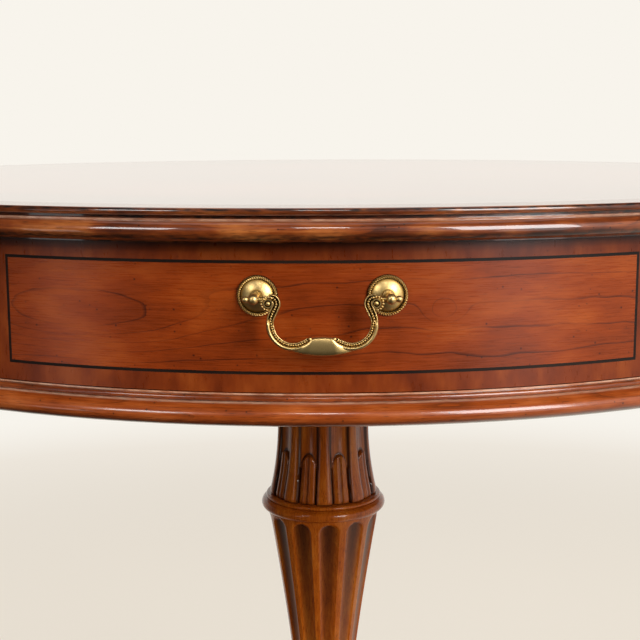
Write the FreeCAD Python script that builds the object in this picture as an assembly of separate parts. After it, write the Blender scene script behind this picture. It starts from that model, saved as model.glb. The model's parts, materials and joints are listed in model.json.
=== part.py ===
import FreeCAD, Part
import math
import os

# Round drum desk on a carved pedestal: a moulded, crossbanded top, six bow fronts round the drum
# (three working drawers and three false fronts in turn), swan-neck bail pulls, and a turned column
# on four swept legs with brass toe caps.
# Millimetres, +Z up. The origin is on the floor under the column, and drawer 1 faces -Y.

Vector = FreeCAD.Vector
ORIGIN = Vector(0, 0, 0)
UP = Vector(0, 0, 1)
SAME_POINT = 1e-6
HEXAGON_SIDES = 6

# Whole desk
TABLE_HEIGHT = 777.0
TOP_DIAMETER = 965.0  # over the half-round of the edge
TOP_OVERHANG = 21.5  # edge of the top past the drawer fronts
FRONT_COUNT = 6

# Top edge profile, heights from the top surface down
NOSING_HEIGHT = 4.4
QUIRK_HEIGHT = 1.8
LIST_HEIGHT = 1.2
EDGE_TORUS_HEIGHT = 11.6
UNDER_FILLET_HEIGHT = 1.0
NOSING_SETBACK = 5.5  # nosing behind the half-round
QUIRK_DEPTH = 4.5  # groove behind the nosing
LIST_SETBACK = 7.0  # thin list behind the half-round
UNDER_FILLET_SETBACK = 8.5

# Top panel
EDGE_RING_WIDTH = 36.0
TOP_BAND_WIDTH = 62.0
TOP_STRING_WIDTH = 2.5
VENEER_THICKNESS = 1.0

# Drum
FRIEZE_HEIGHT = 90.5
LOWER_FILLET_HEIGHT = 1.3
LOWER_BEAD_HEIGHT = 3.6
LOWER_BEAD_REACH = 3.0  # past the drawer fronts
LOWER_TORUS_HEIGHT = 14.4
LOWER_TORUS_REACH = 12.5
LOWER_TORUS_ROOT = 1.5
LOWER_RING_WIDTH = 34.0
BOTTOM_BOARD_THICKNESS = 16.0
STILE_WIDTH = 56.5
STILE_DEPTH = 42.0
PARTITION_THICKNESS = 12.0

# Drawer fronts
FRONT_GAP = 0.5  # round each front
FRONT_THICKNESS = 20.0  # with its veneer
CROSSBAND_WIDTH = 10.8
STRING_WIDTH = 1.9

# Drawer boxes and what they run on
SIDE_THICKNESS = 12.0
SIDE_HEIGHT = 62.0
SIDE_CLEARANCE = 0.6
SIDE_TAIL = 10.0  # side running on behind the back
BACK_THICKNESS = 12.0
BACK_TO_CORNER = 10.0  # back of the box from the corner where two bays meet
PANEL_THICKNESS = 6.0
PANEL_LIFT = 8.0
GROOVE_DEPTH = 5.0
TONGUE_DEPTH = 9.0
TONGUE_ROOT = 6.0
TONGUE_TIP = 8.5
TONGUE_SHOULDER = 8.0
RUNNER_WIDTH = 18.0
RUNNER_HEIGHT = 7.0
KICKER_WIDTH = 14.0
KICKER_GAP = 0.8
STOP_WIDTH = 50.0
STOP_HEIGHT = 40.0
STOP_THICKNESS = 18.0

# Pulls
POST_SPACING = 76.2
PULL_DROP = 52.0  # post line below the top surface
ROSETTE_DIAMETER = 24.5
ROSETTE_RIM = 2.4
ROSETTE_EDGE = 0.9
ROSETTE_DOME = 3.4
POST_REACH = 17.0  # centre of the ball from the drawer front
POST_RADIUS = 2.3
POST_COLLAR_RADIUS = 3.4
POST_COLLAR_HEIGHT = 1.2
BALL_RADIUS = 3.2
PIN_RADIUS = 1.2
PIN_BEAD_RADIUS = 1.5
PIN_BEAD_OFFSET = 4.7  # bead on the pin's end from the centre of the ball
NUT_RADIUS = 4.6
NUT_HEIGHT = 3.5
WASHER_RADIUS = 6.0
WASHER_HEIGHT = 1.2
THREAD_END = 1.5  # thread standing out of the nut

# Bail, measured from the middle of its pin line
BAIL_WIDTH = 4.8  # across the arm, seen from the front
BAIL_DEPTH = 4.2
SCROLL_X = 29.6
SCROLL_DROP = 4.0
SCROLL_RADIUS = 3.1
BOW_X = 17.2
BOW_DROP = 16.0
BOW_RADIUS = 11.2
BOW_TIP_ANGLE = 214.0  # where the bow's inner tip ends, counterclockwise from +X
SCROLL_END_ANGLE = 75.0  # where the scroll ends over the pin, counterclockwise from +X
GRIP_LENGTH = 30.0
GRIP_DROP = 27.6
GRIP_HEIGHT = 10.2
GRIP_DEPTH = 5.6
GRIP_END_HEIGHT = 3.2
GRIP_END_DEPTH = 2.8
GRIP_STATIONS = (-1, -0.55, 0, 0.55, 1)  # along the grip, as shares of its half length

# Column
HEAD_PLATE_DIAMETER = 250.0
HEAD_PLATE_THICKNESS = 24.0
CAPITAL_RADIUS = 58.0
CAPITAL_HEIGHT = 12.0
SHAFT_HEIGHT = 161.0
SHAFT_WAIST_RADIUS = 44.7
SHAFT_FOOT_RADIUS = 53.7
FLARE_HEIGHT = 72.6
FLUTE_COUNT = 9
FLUTE_RADIUS = 8.5
FLUTE_DEPTH = 3.5
FLUTE_STOP = 36.0  # flutes end this far above the shaft's foot
FLUTE_TOP_GAP = 8.5  # and this far below the capital
COLLAR_RADIUS = 60.8
COLLAR_BEAD_RADIUS = 56.4
COLLAR_BEAD_HEIGHT = 3.8
COLLAR_TORUS_HEIGHT = 11.4
VASE_TOP_RADIUS = 54.8
VASE_NECK_RADIUS = 31.0
VASE_HOLLOW = 1.0  # its side curves in by this much from a straight cone
FOOT_TORUS_RADIUS = 46.0
FOOT_TORUS_HEIGHT = 18.0
FOOT_LIST_RADIUS = 40.0
FOOT_LIST_HEIGHT = 6.0
HUB_RADIUS = 56.0
HUB_BEVEL = 5.0
HUB_BOTTOM = 138.0
HUB_HEIGHT = 132.0
ROD_RADIUS = 5.0
ROD_NUT_RADIUS = 9.0
ROD_NUT_HEIGHT = 8.0
ROD_WASHER_RADIUS = 14.0
ROD_WASHER_HEIGHT = 2.0
ROD_END = 3.0  # rod standing out of each nut
COUNTERBORE_DEPTH = 16.0

# Legs
LEG_COUNT = 4
LEG_WIDTH = 46.0
LEG_REACH = 392.0
LEG_ROOT_TOP = 14.0  # below the hub's top
LEG_ROOT_BOTTOM = 27.0  # above the hub's bottom
LEG_TOE_DEPTH = 37.0
LEG_TOP_SAG = 58.0
LEG_BOTTOM_SAG = 40.0
TENON_DEPTH = 18.0
TENON_WIDTH = 20.0
TENON_SHOULDER = 16.0  # above the leg's underside
TENON_TOP_SHOULDER = 32.0
CAP_LENGTH = 58.0
CAP_WALL = 2.5
GLIDE_RADIUS = 12.0
GLIDE_HEIGHT = 5.0

# Wood screws
SCREW_LENGTH = 32.0
SCREW_RADIUS = 2.2
SCREW_HEAD_RADIUS = 4.2
SCREW_HEAD_HEIGHT = 2.6
SCREW_POINT = 5.0
HEAD_SCREW_COUNT = 6
HEAD_SCREW_INSET = 28.0  # from the head plate's rim

# Clearances
JOINT_GAP = 0.1  # glued joints and holes for fasteners
GLUE_LINE = 0.3  # behind the veneer of a bowed front
REST_GAP = 0.3  # a drawer from its runners and its stop
PIN_GAP = 0.07  # bail pin in its post

# Levels
top_thickness = NOSING_HEIGHT + QUIRK_HEIGHT + LIST_HEIGHT + EDGE_TORUS_HEIGHT + UNDER_FILLET_HEIGHT
z_under_top = TABLE_HEIGHT - top_thickness
z_bay_floor = z_under_top - FRIEZE_HEIGHT
z_front_low = z_bay_floor + FRONT_GAP
z_front_high = z_under_top - FRONT_GAP
z_board_under = z_bay_floor - BOTTOM_BOARD_THICKNESS
z_shaft_top = z_board_under - HEAD_PLATE_THICKNESS
z_hub_top = HUB_BOTTOM + HUB_HEIGHT
z_shaft_foot = z_shaft_top - SHAFT_HEIGHT
z_collar_low = z_shaft_foot - COLLAR_BEAD_HEIGHT - COLLAR_TORUS_HEIGHT
z_side_low = z_bay_floor + RUNNER_HEIGHT + REST_GAP
z_side_high = z_side_low + SIDE_HEIGHT
z_panel_low = z_side_low + PANEL_LIFT
z_panel_high = z_panel_low + PANEL_THICKNESS
z_kicker_low = z_side_high + KICKER_GAP
z_pull = TABLE_HEIGHT - PULL_DROP

# Plan of the drum
top_radius = TOP_DIAMETER / 2
edge_ring_inner = top_radius - EDGE_RING_WIDTH
top_string_outer = edge_ring_inner - TOP_BAND_WIDTH
top_field_radius = top_string_outer - TOP_STRING_WIDTH
drum_radius = top_radius - TOP_OVERHANG
lower_ring_inner = drum_radius - LOWER_RING_WIDTH
front_pitch = 2 * math.pi / FRONT_COUNT
bay_pitch = 2 * front_pitch
stile_half_angle = STILE_WIDTH / 2 / drum_radius
front_half_angle = front_pitch / 2 - stile_half_angle - FRONT_GAP / drum_radius
stile_inner = drum_radius - STILE_DEPTH
front_inner = drum_radius - FRONT_THICKNESS
veneer_inner = drum_radius - VENEER_THICKNESS
board_face = veneer_inner - GLUE_LINE
bay_half_width = stile_inner * math.sin(front_pitch / 2 - stile_half_angle)
bay_corner = bay_half_width / math.tan(bay_pitch / 2)  # where two bays meet, from the axis
side_outer = bay_half_width - SIDE_CLEARANCE
side_inner = side_outer - SIDE_THICKNESS
side_end = bay_corner + BACK_TO_CORNER
back_outer = side_end + SIDE_TAIL
back_inner = back_outer + BACK_THICKNESS

# Pull line
post_x = POST_SPACING / 2
post_tilt = math.asin(post_x / drum_radius)  # posts stand square to the bow of the front
ball_x = (drum_radius + POST_REACH) * math.sin(post_tilt)
pin_line = (drum_radius + POST_REACH) * math.cos(post_tilt)

nodes = {}


def at(point):
    """A point (radius, height) in the XZ plane."""
    return Vector(point[0], 0, point[1])


def outline(start, *moves):
    """A closed face in the XZ plane. A move is a point, the middle and end points of an arc, or an edge."""
    edges = []
    here = start
    for move in moves + (start,):
        if isinstance(move, Part.Edge):
            edges.append(move)
            end = (move.Vertexes[-1].X, move.Vertexes[-1].Z)
        elif isinstance(move[0], tuple):
            middle, end = move
            edges.append(Part.Arc(at(here), at(middle), at(end)).toShape())
        else:
            end = move
            if at(here).isEqual(at(end), SAME_POINT):
                continue
            edges.append(Part.LineSegment(at(here), at(end)).toShape())
        here = end
    return Part.Face(Part.Wire(edges))


def half_round(base, low, high):
    """The arc of a half-round moulding, going up from (base, low) to (base, high)."""
    radius = (high - low) / 2
    return ((base + radius, low + radius), (base, high))


def flat_round(base, reach, low, high):
    """The half ellipse of a flattened round, going up from (base, low) to (base, high)."""
    level = (low + high) / 2
    ellipse = Part.Ellipse(at((base + reach, level)), at((base, high)), at((base, level)))
    return Part.ArcOfEllipse(ellipse, -math.pi / 2, math.pi / 2).toShape()


def turned(*points):
    """A solid of revolution round the Z axis."""
    return outline(*points).revolve(ORIGIN, UP, 360)


def disc(radius, low, high):
    return Part.makeCylinder(radius, high - low, Vector(0, 0, low))


def ring(inner, outer, low, high):
    return disc(outer, low, high).cut(disc(inner, low, high))


def box(x_low, x_high, y_low, y_high, z_low, z_high):
    corner = Vector(x_low, y_low, z_low)
    return Part.makeBox(x_high - x_low, y_high - y_low, z_high - z_low, corner)


def prism(points, low, high):
    """A polygon of (x, y) points, raised from one height to another."""
    corners = [Vector(x, y, low) for x, y in points]
    face = Part.Face(Part.makePolygon(corners + corners[:1]))
    return face.extrude(Vector(0, 0, high - low))


def polar(radius, angle, z):
    """A point at an angle from -Y, growing towards +X."""
    return Vector(radius * math.sin(angle), -radius * math.cos(angle), z)


def sector(inner, outer, start, end, low, high):
    """A piece of a ring between two angles."""
    middle = (start + end) / 2
    outer_arc = Part.Arc(polar(outer, start, low), polar(outer, middle, low), polar(outer, end, low))
    inner_arc = Part.Arc(polar(inner, end, low), polar(inner, middle, low), polar(inner, start, low))
    end_line = Part.LineSegment(polar(outer, end, low), polar(inner, end, low))
    start_line = Part.LineSegment(polar(inner, start, low), polar(outer, start, low))
    pieces = (outer_arc, end_line, inner_arc, start_line)
    face = Part.Face(Part.Wire([piece.toShape() for piece in pieces]))
    return face.extrude(Vector(0, 0, high - low))


def about_axis(shape, angle):
    """A copy turned about the desk's axis, angle in radians."""
    copy = shape.copy()
    copy.rotate(ORIGIN, UP, math.degrees(angle))
    return copy


def mirrored(shape):
    """The other one of a left and right pair."""
    return shape.mirror(ORIGIN, Vector(1, 0, 0))


def group(shapes):
    """Separate solids that share a node."""
    return Part.makeCompound([solid for shape in shapes for solid in shape.Solids])


def pair(shape):
    return group([shape, mirrored(shape)])


def hexagon(radius, low, high):
    """A nut's outer shape, with a corner on +X."""
    corners = []
    for index in range(HEXAGON_SIDES):
        angle = 2 * math.pi * index / HEXAGON_SIDES
        corners.append((radius * math.cos(angle), radius * math.sin(angle)))
    return prism(corners, low, high)


def screw_shape(gap):
    """A countersunk wood screw pointing up from the origin, or with a gap, the hole for it."""
    head = SCREW_HEAD_RADIUS + gap
    shank = SCREW_RADIUS + gap
    return turned(
        (0, -gap),
        (head, -gap),
        (head, 0),
        (shank, SCREW_HEAD_HEIGHT),
        (shank, SCREW_LENGTH - SCREW_POINT),
        (0, SCREW_LENGTH + gap),
    )


def screws_at(places, gap):
    return [screw_shape(gap).translated(place) for place in places]


# Where the screws go
kicker_screw_x = bay_half_width - KICKER_WIDTH / 2
kicker_screw_y = -(bay_corner + stile_inner) / 2
working_angles = [index * bay_pitch for index in range(FRONT_COUNT // 2)]
false_angles = [angle + front_pitch for angle in working_angles]

kicker_screws = []
for bay_angle in working_angles:
    for x in (-kicker_screw_x, kicker_screw_x):
        place = Vector(x, kicker_screw_y, z_kicker_low)
        kicker_screws.append(FreeCAD.Rotation(UP, math.degrees(bay_angle)).multVec(place))

head_screw_circle = HEAD_PLATE_DIAMETER / 2 - HEAD_SCREW_INSET
head_screws = []
for index in range(HEAD_SCREW_COUNT):
    head_screws.append(polar(head_screw_circle, 2 * math.pi * index / HEAD_SCREW_COUNT, z_shaft_top))


# Top
def top_edge_moulding():
    nosing = top_radius - NOSING_SETBACK
    nosing_base = nosing - NOSING_HEIGHT / 2
    quirk = nosing - QUIRK_DEPTH
    torus_base = top_radius - EDGE_TORUS_HEIGHT / 2
    z_torus_low = z_under_top + UNDER_FILLET_HEIGHT
    z_torus_high = z_torus_low + EDGE_TORUS_HEIGHT
    z_list = z_torus_high + LIST_HEIGHT
    z_nosing = z_list + QUIRK_HEIGHT
    return turned(
        (edge_ring_inner, z_under_top),
        (top_radius - UNDER_FILLET_SETBACK, z_under_top),
        (top_radius - UNDER_FILLET_SETBACK, z_torus_low),
        (torus_base, z_torus_low),
        half_round(torus_base, z_torus_low, z_torus_high),
        (top_radius - LIST_SETBACK, z_torus_high),
        (top_radius - LIST_SETBACK, z_list),
        (quirk, z_list),
        (quirk, z_nosing),
        (nosing_base, z_nosing),
        half_round(nosing_base, z_nosing, TABLE_HEIGHT),
        (edge_ring_inner, TABLE_HEIGHT),
    )


z_veneer = TABLE_HEIGHT - VENEER_THICKNESS
top_core = disc(edge_ring_inner, z_under_top, z_veneer)
nodes["top_core"] = top_core.cut(screws_at(kicker_screws, JOINT_GAP))
nodes["top_field_veneer"] = disc(top_field_radius, z_veneer, TABLE_HEIGHT)
nodes["top_stringing"] = ring(top_field_radius, top_string_outer, z_veneer, TABLE_HEIGHT)
nodes["top_crossbanding"] = ring(top_string_outer, edge_ring_inner, z_veneer, TABLE_HEIGHT)
nodes["top_edge_moulding"] = top_edge_moulding()


# Drum
def lower_moulding():
    bead_base = drum_radius + LOWER_BEAD_REACH - LOWER_BEAD_HEIGHT / 2
    torus_base = drum_radius + LOWER_TORUS_ROOT
    torus_depth = LOWER_TORUS_REACH - LOWER_TORUS_ROOT
    z_fillet = z_bay_floor - LOWER_FILLET_HEIGHT
    z_bead = z_fillet - LOWER_BEAD_HEIGHT
    z_torus = z_bead - LOWER_TORUS_HEIGHT
    return turned(
        (lower_ring_inner, z_torus),
        (torus_base, z_torus),
        flat_round(torus_base, torus_depth, z_torus, z_bead),
        (bead_base, z_bead),
        half_round(bead_base, z_bead, z_fillet),
        (drum_radius, z_fillet),
        (drum_radius, z_bay_floor),
        (lower_ring_inner, z_bay_floor),
    )


def stile(angle):
    start = angle - stile_half_angle
    end = angle + stile_half_angle
    return sector(stile_inner, drum_radius, start, end, z_bay_floor, z_under_top)


def partition():
    """The wall on the +X side of the first bay, mitred where it meets the next bay's wall."""
    outer = bay_half_width + PARTITION_THICKNESS
    mitre = outer / math.tan(bay_pitch / 2)
    corners = [
        (bay_half_width, -bay_corner),
        (bay_half_width, -stile_inner),
        (outer, -stile_inner),
        (outer, -mitre),
    ]
    return prism(corners, z_bay_floor, z_under_top).common(disc(stile_inner, z_bay_floor, z_under_top))


def guide(width, low, high):
    """A strip along the +X wall of the first bay, from the stile to the corner of the bay."""
    strip = box(bay_half_width - width, bay_half_width, -stile_inner, -bay_corner, low, high)
    return strip.common(disc(stile_inner, low, high))


def drawer_stop():
    front = back_outer - REST_GAP
    half = STOP_WIDTH / 2
    high = z_bay_floor + STOP_HEIGHT
    return box(-half, half, -front, STOP_THICKNESS - front, z_bay_floor, high)


runner = guide(RUNNER_WIDTH, z_bay_floor, z_bay_floor + RUNNER_HEIGHT)
kicker = guide(KICKER_WIDTH, z_kicker_low, z_under_top).cut(screws_at(kicker_screws, JOINT_GAP))
bay_guides = group([pair(runner), pair(kicker)])
stile_angles = [front_pitch * (index + 0.5) for index in range(FRONT_COUNT)]
bottom_board = disc(lower_ring_inner, z_board_under, z_bay_floor)
nodes["drum_bottom_board"] = bottom_board.cut(screws_at(head_screws, JOINT_GAP))
nodes["lower_moulding"] = lower_moulding()
nodes["drum_stiles"] = group(stile(angle) for angle in stile_angles)
nodes["bay_partitions"] = group(about_axis(pair(partition()), angle) for angle in working_angles)
nodes["drawer_guides"] = group(about_axis(bay_guides, angle) for angle in working_angles)
nodes["drawer_stops"] = group(about_axis(drawer_stop(), angle) for angle in working_angles)


# Fronts, made facing -Y and then turned to their places
def face_strips(inset, width):
    """The four thin strips of a border on a front, this far in from its edges."""
    start = -front_half_angle + inset / drum_radius
    side = width / drum_radius
    low = z_front_low + inset
    high = z_front_high - inset
    inner_low = low + width
    inner_high = high - width
    bands = [
        (start, -start, low, inner_low),
        (start, -start, inner_high, high),
        (start, start + side, inner_low, inner_high),
        (-start - side, -start, inner_low, inner_high),
    ]
    return group(sector(veneer_inner, drum_radius, *band) for band in bands)


def on_bow(shape):
    """A piece made standing on the origin, laid square on the bow of the front at the +X post."""
    copy = shape.copy()
    copy.rotate(ORIGIN, Vector(1, 0, 0), 90)
    copy.translate(Vector(0, -drum_radius, z_pull))
    copy.rotate(ORIGIN, UP, math.degrees(post_tilt))
    return copy


def post_hole():
    return disc(POST_RADIUS + JOINT_GAP, 2 * (front_inner - drum_radius), 2 * ROSETTE_DOME)


def post_holes():
    hole = on_bow(post_hole())
    return [hole, mirrored(hole)]


def face_field():
    inset = CROSSBAND_WIDTH + STRING_WIDTH
    half = front_half_angle - inset / drum_radius
    panel = sector(veneer_inner, drum_radius, -half, half, z_front_low + inset, z_front_high - inset)
    return panel.cut(post_holes())


def front_board(low, high):
    board = sector(front_inner, board_face, -front_half_angle, front_half_angle, low, high)
    return board.cut(post_holes())


def tongue(low, gap):
    """The sliding dovetail on the front end of a side, or with a gap, the slot for it."""
    middle = (side_inner + side_outer) / 2
    shoulder = math.sqrt(front_inner**2 - middle**2)
    root = TONGUE_ROOT / 2 + gap
    tip = TONGUE_TIP / 2 + gap
    back = shoulder - SIDE_THICKNESS / 2
    front = shoulder + TONGUE_DEPTH + gap
    corners = [(middle - root, -back), (middle - tip, -front), (middle + tip, -front), (middle + root, -back)]
    return prism(corners, low, z_side_high - TONGUE_SHOULDER + gap)


def panel_groove(radius, half_width, gap):
    """The space of a drawer's bottom panel, up to the front's groove."""
    space = box(-half_width, half_width, -radius, -back_outer, z_panel_low - gap, z_panel_high + gap)
    return space.common(disc(radius, z_panel_low - gap, z_panel_high + gap))


def drawer_bottom():
    return panel_groove(front_inner + GROOVE_DEPTH - JOINT_GAP, side_inner + GROOVE_DEPTH - JOINT_GAP, 0)


def drawer_front():
    board = front_board(z_front_low, z_front_high)
    slots = pair(tongue(z_front_low, JOINT_GAP))
    groove = panel_groove(front_inner + GROOVE_DEPTH, side_inner + GROOVE_DEPTH, JOINT_GAP)
    return board.cut([slots, groove])


def drawer_side():
    """The +X side: a board cut to the curve of the front, with its tongue, groove and housing."""
    board = box(side_inner, side_outer, -front_inner, -side_end, z_side_low, z_side_high)
    board = board.common(disc(front_inner, z_side_low, z_side_high))
    groove_end = side_inner + GROOVE_DEPTH
    groove_low = z_panel_low - JOINT_GAP
    groove_high = z_panel_high + JOINT_GAP
    groove = box(0, groove_end, -drum_radius, -back_outer, groove_low, groove_high)
    housing_front = back_inner + JOINT_GAP
    housing_back = back_outer - JOINT_GAP
    housing = box(0, groove_end, -housing_front, -housing_back, z_panel_low, z_side_high)
    return board.fuse(tongue(z_side_low, 0)).cut([groove, housing]).removeSplitter()


def drawer_back():
    half = side_inner + GROOVE_DEPTH - JOINT_GAP
    return box(-half, half, -back_inner, -back_outer, z_panel_high, z_side_high)


# Pulls, made facing -Y like the fronts
def rosette():
    """A domed disc with a round rim, lying on the bow of the front."""
    outer = ROSETTE_DIAMETER / 2
    rim_inner = outer - ROSETTE_RIM
    rim_high = ROSETTE_EDGE + ROSETTE_RIM / 2
    dome_rise = ROSETTE_DOME - ROSETTE_EDGE
    dome_sphere = (rim_inner**2 + dome_rise**2) / (2 * dome_rise)
    dome_middle = math.asin(rim_inner / dome_sphere) / 2
    dome_centre = ROSETTE_DOME - dome_sphere
    dome_point = (dome_sphere * math.sin(dome_middle), dome_centre + dome_sphere * math.cos(dome_middle))
    shape = turned(
        (0, 0),
        (outer, 0),
        (outer, ROSETTE_EDGE),
        ((outer - ROSETTE_RIM / 2, rim_high), (rim_inner, ROSETTE_EDGE)),
        (dome_point, (0, ROSETTE_DOME)),
    )
    return on_bow(shape.cut(post_hole()))


def post():
    """A turned post: thread through the front, collar on the rosette, and a ball bored for the pin."""
    collar_low = ROSETTE_DOME + JOINT_GAP
    collar_high = collar_low + POST_COLLAR_HEIGHT
    ball_low = POST_REACH - math.sqrt(BALL_RADIUS**2 - POST_RADIUS**2)
    thread_low = -thread_length
    shape = turned(
        (0, thread_low),
        (POST_RADIUS, thread_low),
        (POST_RADIUS, collar_low),
        (POST_COLLAR_RADIUS, collar_low),
        (POST_COLLAR_RADIUS, collar_high),
        (POST_RADIUS, collar_high),
        (POST_RADIUS, ball_low),
        ((BALL_RADIUS, POST_REACH), (0, POST_REACH + BALL_RADIUS)),
    )
    bore_radius = PIN_RADIUS + PIN_GAP
    bore_start = Vector(ball_x - BALL_RADIUS, -pin_line, z_pull)
    bore = Part.makeCylinder(bore_radius, 2 * BALL_RADIUS, bore_start, Vector(1, 0, 0))
    return on_bow(shape).cut(bore)


def nut_and_washer():
    """The hexagon nut and round washer that hold a post, on the inside of the front."""
    washer_low = washer_seat - WASHER_HEIGHT
    nut = hexagon(NUT_RADIUS, washer_low - NUT_HEIGHT, washer_low).cut(post_hole())
    washer = disc(WASHER_RADIUS, washer_low, washer_seat).cut(post_hole())
    return on_bow(group([nut, washer]))


# The washer lies flat inside the hollow curve of the front, so its outer edge touches first
washer_seat = math.sqrt(front_inner**2 - WASHER_RADIUS**2) - drum_radius
thread_length = WASHER_HEIGHT + NUT_HEIGHT + THREAD_END - washer_seat


def arm_section(centre, radius, angle):
    """The oval section of the bail's arm on a circle in the XZ plane."""
    out = Vector(math.cos(angle), 0, math.sin(angle))
    middle = centre + out * radius
    wide = middle + out * (BAIL_WIDTH / 2)
    deep = middle + Vector(0, BAIL_DEPTH / 2, 0)
    return Part.Face(Part.Wire(Part.Ellipse(wide, deep, middle).toShape()))


def bail_arm():
    """The +X arm: a bow, a straight waist and the scroll at the pin, as one swan neck."""
    bow = Vector(BOW_X, 0, -BOW_DROP)
    scroll = Vector(SCROLL_X, 0, -SCROLL_DROP)
    line = scroll - bow
    lean = math.atan2(line.z, line.x) - math.acos((BOW_RADIUS + SCROLL_RADIUS) / line.Length)
    tip = math.radians(BOW_TIP_ANGLE) - 2 * math.pi
    bow_piece = arm_section(bow, BOW_RADIUS, lean).revolve(bow, Vector(0, 1, 0), math.degrees(lean - tip))
    waist_low = arm_section(bow, BOW_RADIUS, lean)
    waist_high = arm_section(scroll, SCROLL_RADIUS, lean + math.pi)
    waist = waist_low.extrude(waist_high.CenterOfMass - waist_low.CenterOfMass)
    scroll_turn = math.degrees(lean + math.pi) - SCROLL_END_ANGLE
    scroll_piece = waist_high.revolve(scroll, Vector(0, 1, 0), scroll_turn)
    pin_end = ball_x + PIN_BEAD_OFFSET
    pin = Part.makeCylinder(PIN_RADIUS, pin_end - SCROLL_X, Vector(SCROLL_X, 0, 0), Vector(1, 0, 0))
    bead = Part.makeSphere(PIN_BEAD_RADIUS, Vector(pin_end, 0, 0))
    return bow_piece.fuse([waist, scroll_piece, pin, bead])


def bail_grip():
    """The plain oval swelling in the middle of the bail."""
    wires = []
    for share in GRIP_STATIONS:
        swell = 1 - share**2
        half_height = (GRIP_END_HEIGHT + (GRIP_HEIGHT - GRIP_END_HEIGHT) * swell) / 2
        half_depth = (GRIP_END_DEPTH + (GRIP_DEPTH - GRIP_END_DEPTH) * swell) / 2
        middle = Vector(share * GRIP_LENGTH / 2, 0, -GRIP_DROP)
        tall = middle + Vector(0, 0, half_height)
        deep = middle + Vector(0, half_depth, 0)
        wires.append(Part.Wire(Part.Ellipse(tall, deep, middle).toShape()))
    return Part.makeLoft(wires, True)


def bail():
    arm = bail_arm()
    whole = bail_grip().fuse([arm, mirrored(arm)]).removeSplitter()
    return whole.translated(Vector(0, -pin_line, z_pull))


front_parts = {
    "face_veneer": face_field(),
    "crossbanding": face_strips(0, CROSSBAND_WIDTH),
    "stringing": face_strips(CROSSBAND_WIDTH, STRING_WIDTH),
    "rosettes": pair(rosette()),
    "posts": group([pair(post()), pair(nut_and_washer())]),
}
drawer_parts = {
    "front": drawer_front(),
    "sides": pair(drawer_side()),
    "back": drawer_back(),
    "bottom": drawer_bottom(),
    "bail": bail(),
}
for number, angle in enumerate(working_angles, 1):
    for name, shape in {**front_parts, **drawer_parts}.items():
        nodes[f"drawer_{number}_{name}"] = about_axis(shape, angle)

false_parts = {**front_parts, "boards": front_board(z_bay_floor, z_under_top)}
for name, shape in false_parts.items():
    nodes[f"false_front_{name}"] = group(about_axis(shape, angle) for angle in false_angles)
for number, angle in enumerate(false_angles, 1):
    nodes[f"false_front_bail_{number}"] = about_axis(bail(), angle)


# Column
def rod_bore(low, high):
    return disc(ROD_RADIUS + JOINT_GAP, low, high)


def head_plate():
    plate = disc(HEAD_PLATE_DIAMETER / 2, z_shaft_top, z_board_under)
    counterbore = disc(ROD_WASHER_RADIUS + JOINT_GAP, z_board_under - COUNTERBORE_DEPTH, z_board_under)
    holes = screws_at(head_screws, JOINT_GAP)
    return plate.cut([rod_bore(z_shaft_top, z_board_under), counterbore] + holes)


def flute():
    """A round-ended hollow in the side of the shaft's straight part."""
    centre = SHAFT_WAIST_RADIUS + FLUTE_RADIUS - FLUTE_DEPTH
    low = z_shaft_foot + FLUTE_STOP + FLUTE_RADIUS
    high = z_shaft_top - CAPITAL_HEIGHT - FLUTE_TOP_GAP - FLUTE_RADIUS
    groove = Part.makeCylinder(FLUTE_RADIUS, high - low, Vector(0, -centre, low))
    ends = [Part.makeSphere(FLUTE_RADIUS, Vector(0, -centre, z)) for z in (low, high)]
    return groove.fuse(ends)


def pedestal_shaft():
    z_flare = z_shaft_foot + FLARE_HEIGHT
    z_capital = z_shaft_top - CAPITAL_HEIGHT
    rise = SHAFT_FOOT_RADIUS - SHAFT_WAIST_RADIUS
    middle = (SHAFT_WAIST_RADIUS + rise / 4, z_shaft_foot + FLARE_HEIGHT / 2)
    shaft = turned(
        (0, z_shaft_foot),
        (SHAFT_FOOT_RADIUS, z_shaft_foot),
        (middle, (SHAFT_WAIST_RADIUS, z_flare)),
        (SHAFT_WAIST_RADIUS, z_capital),
        (CAPITAL_RADIUS - CAPITAL_HEIGHT / 2, z_capital),
        half_round(CAPITAL_RADIUS - CAPITAL_HEIGHT / 2, z_capital, z_shaft_top),
        (0, z_shaft_top),
    )
    flutes = []
    for index in range(FLUTE_COUNT):
        flutes.append(about_axis(flute(), 2 * math.pi * (index + 0.5) / FLUTE_COUNT))
    return shaft.cut(flutes + [rod_bore(z_shaft_foot, z_shaft_top)])


def pedestal_vase():
    """The tapering body from the hub up to the shaft, with a ringed collar above and a ring at its foot."""
    z_foot = z_hub_top + FOOT_TORUS_HEIGHT
    z_neck = z_foot + FOOT_LIST_HEIGHT
    z_bead = z_collar_low + COLLAR_TORUS_HEIGHT
    torus_base = COLLAR_RADIUS - COLLAR_TORUS_HEIGHT / 2
    bead_base = COLLAR_BEAD_RADIUS - COLLAR_BEAD_HEIGHT / 2
    foot_base = FOOT_TORUS_RADIUS - FOOT_TORUS_HEIGHT / 2
    middle_radius = (VASE_NECK_RADIUS + VASE_TOP_RADIUS) / 2 - VASE_HOLLOW
    vase = turned(
        (0, z_hub_top),
        (foot_base, z_hub_top),
        half_round(foot_base, z_hub_top, z_foot),
        (FOOT_LIST_RADIUS, z_foot),
        (FOOT_LIST_RADIUS, z_neck),
        (VASE_NECK_RADIUS, z_neck),
        ((middle_radius, (z_neck + z_collar_low) / 2), (VASE_TOP_RADIUS, z_collar_low)),
        (torus_base, z_collar_low),
        half_round(torus_base, z_collar_low, z_bead),
        (bead_base, z_bead),
        half_round(bead_base, z_bead, z_shaft_foot),
        (0, z_shaft_foot),
    )
    return vase.cut(rod_bore(z_hub_top, z_shaft_foot))


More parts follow.
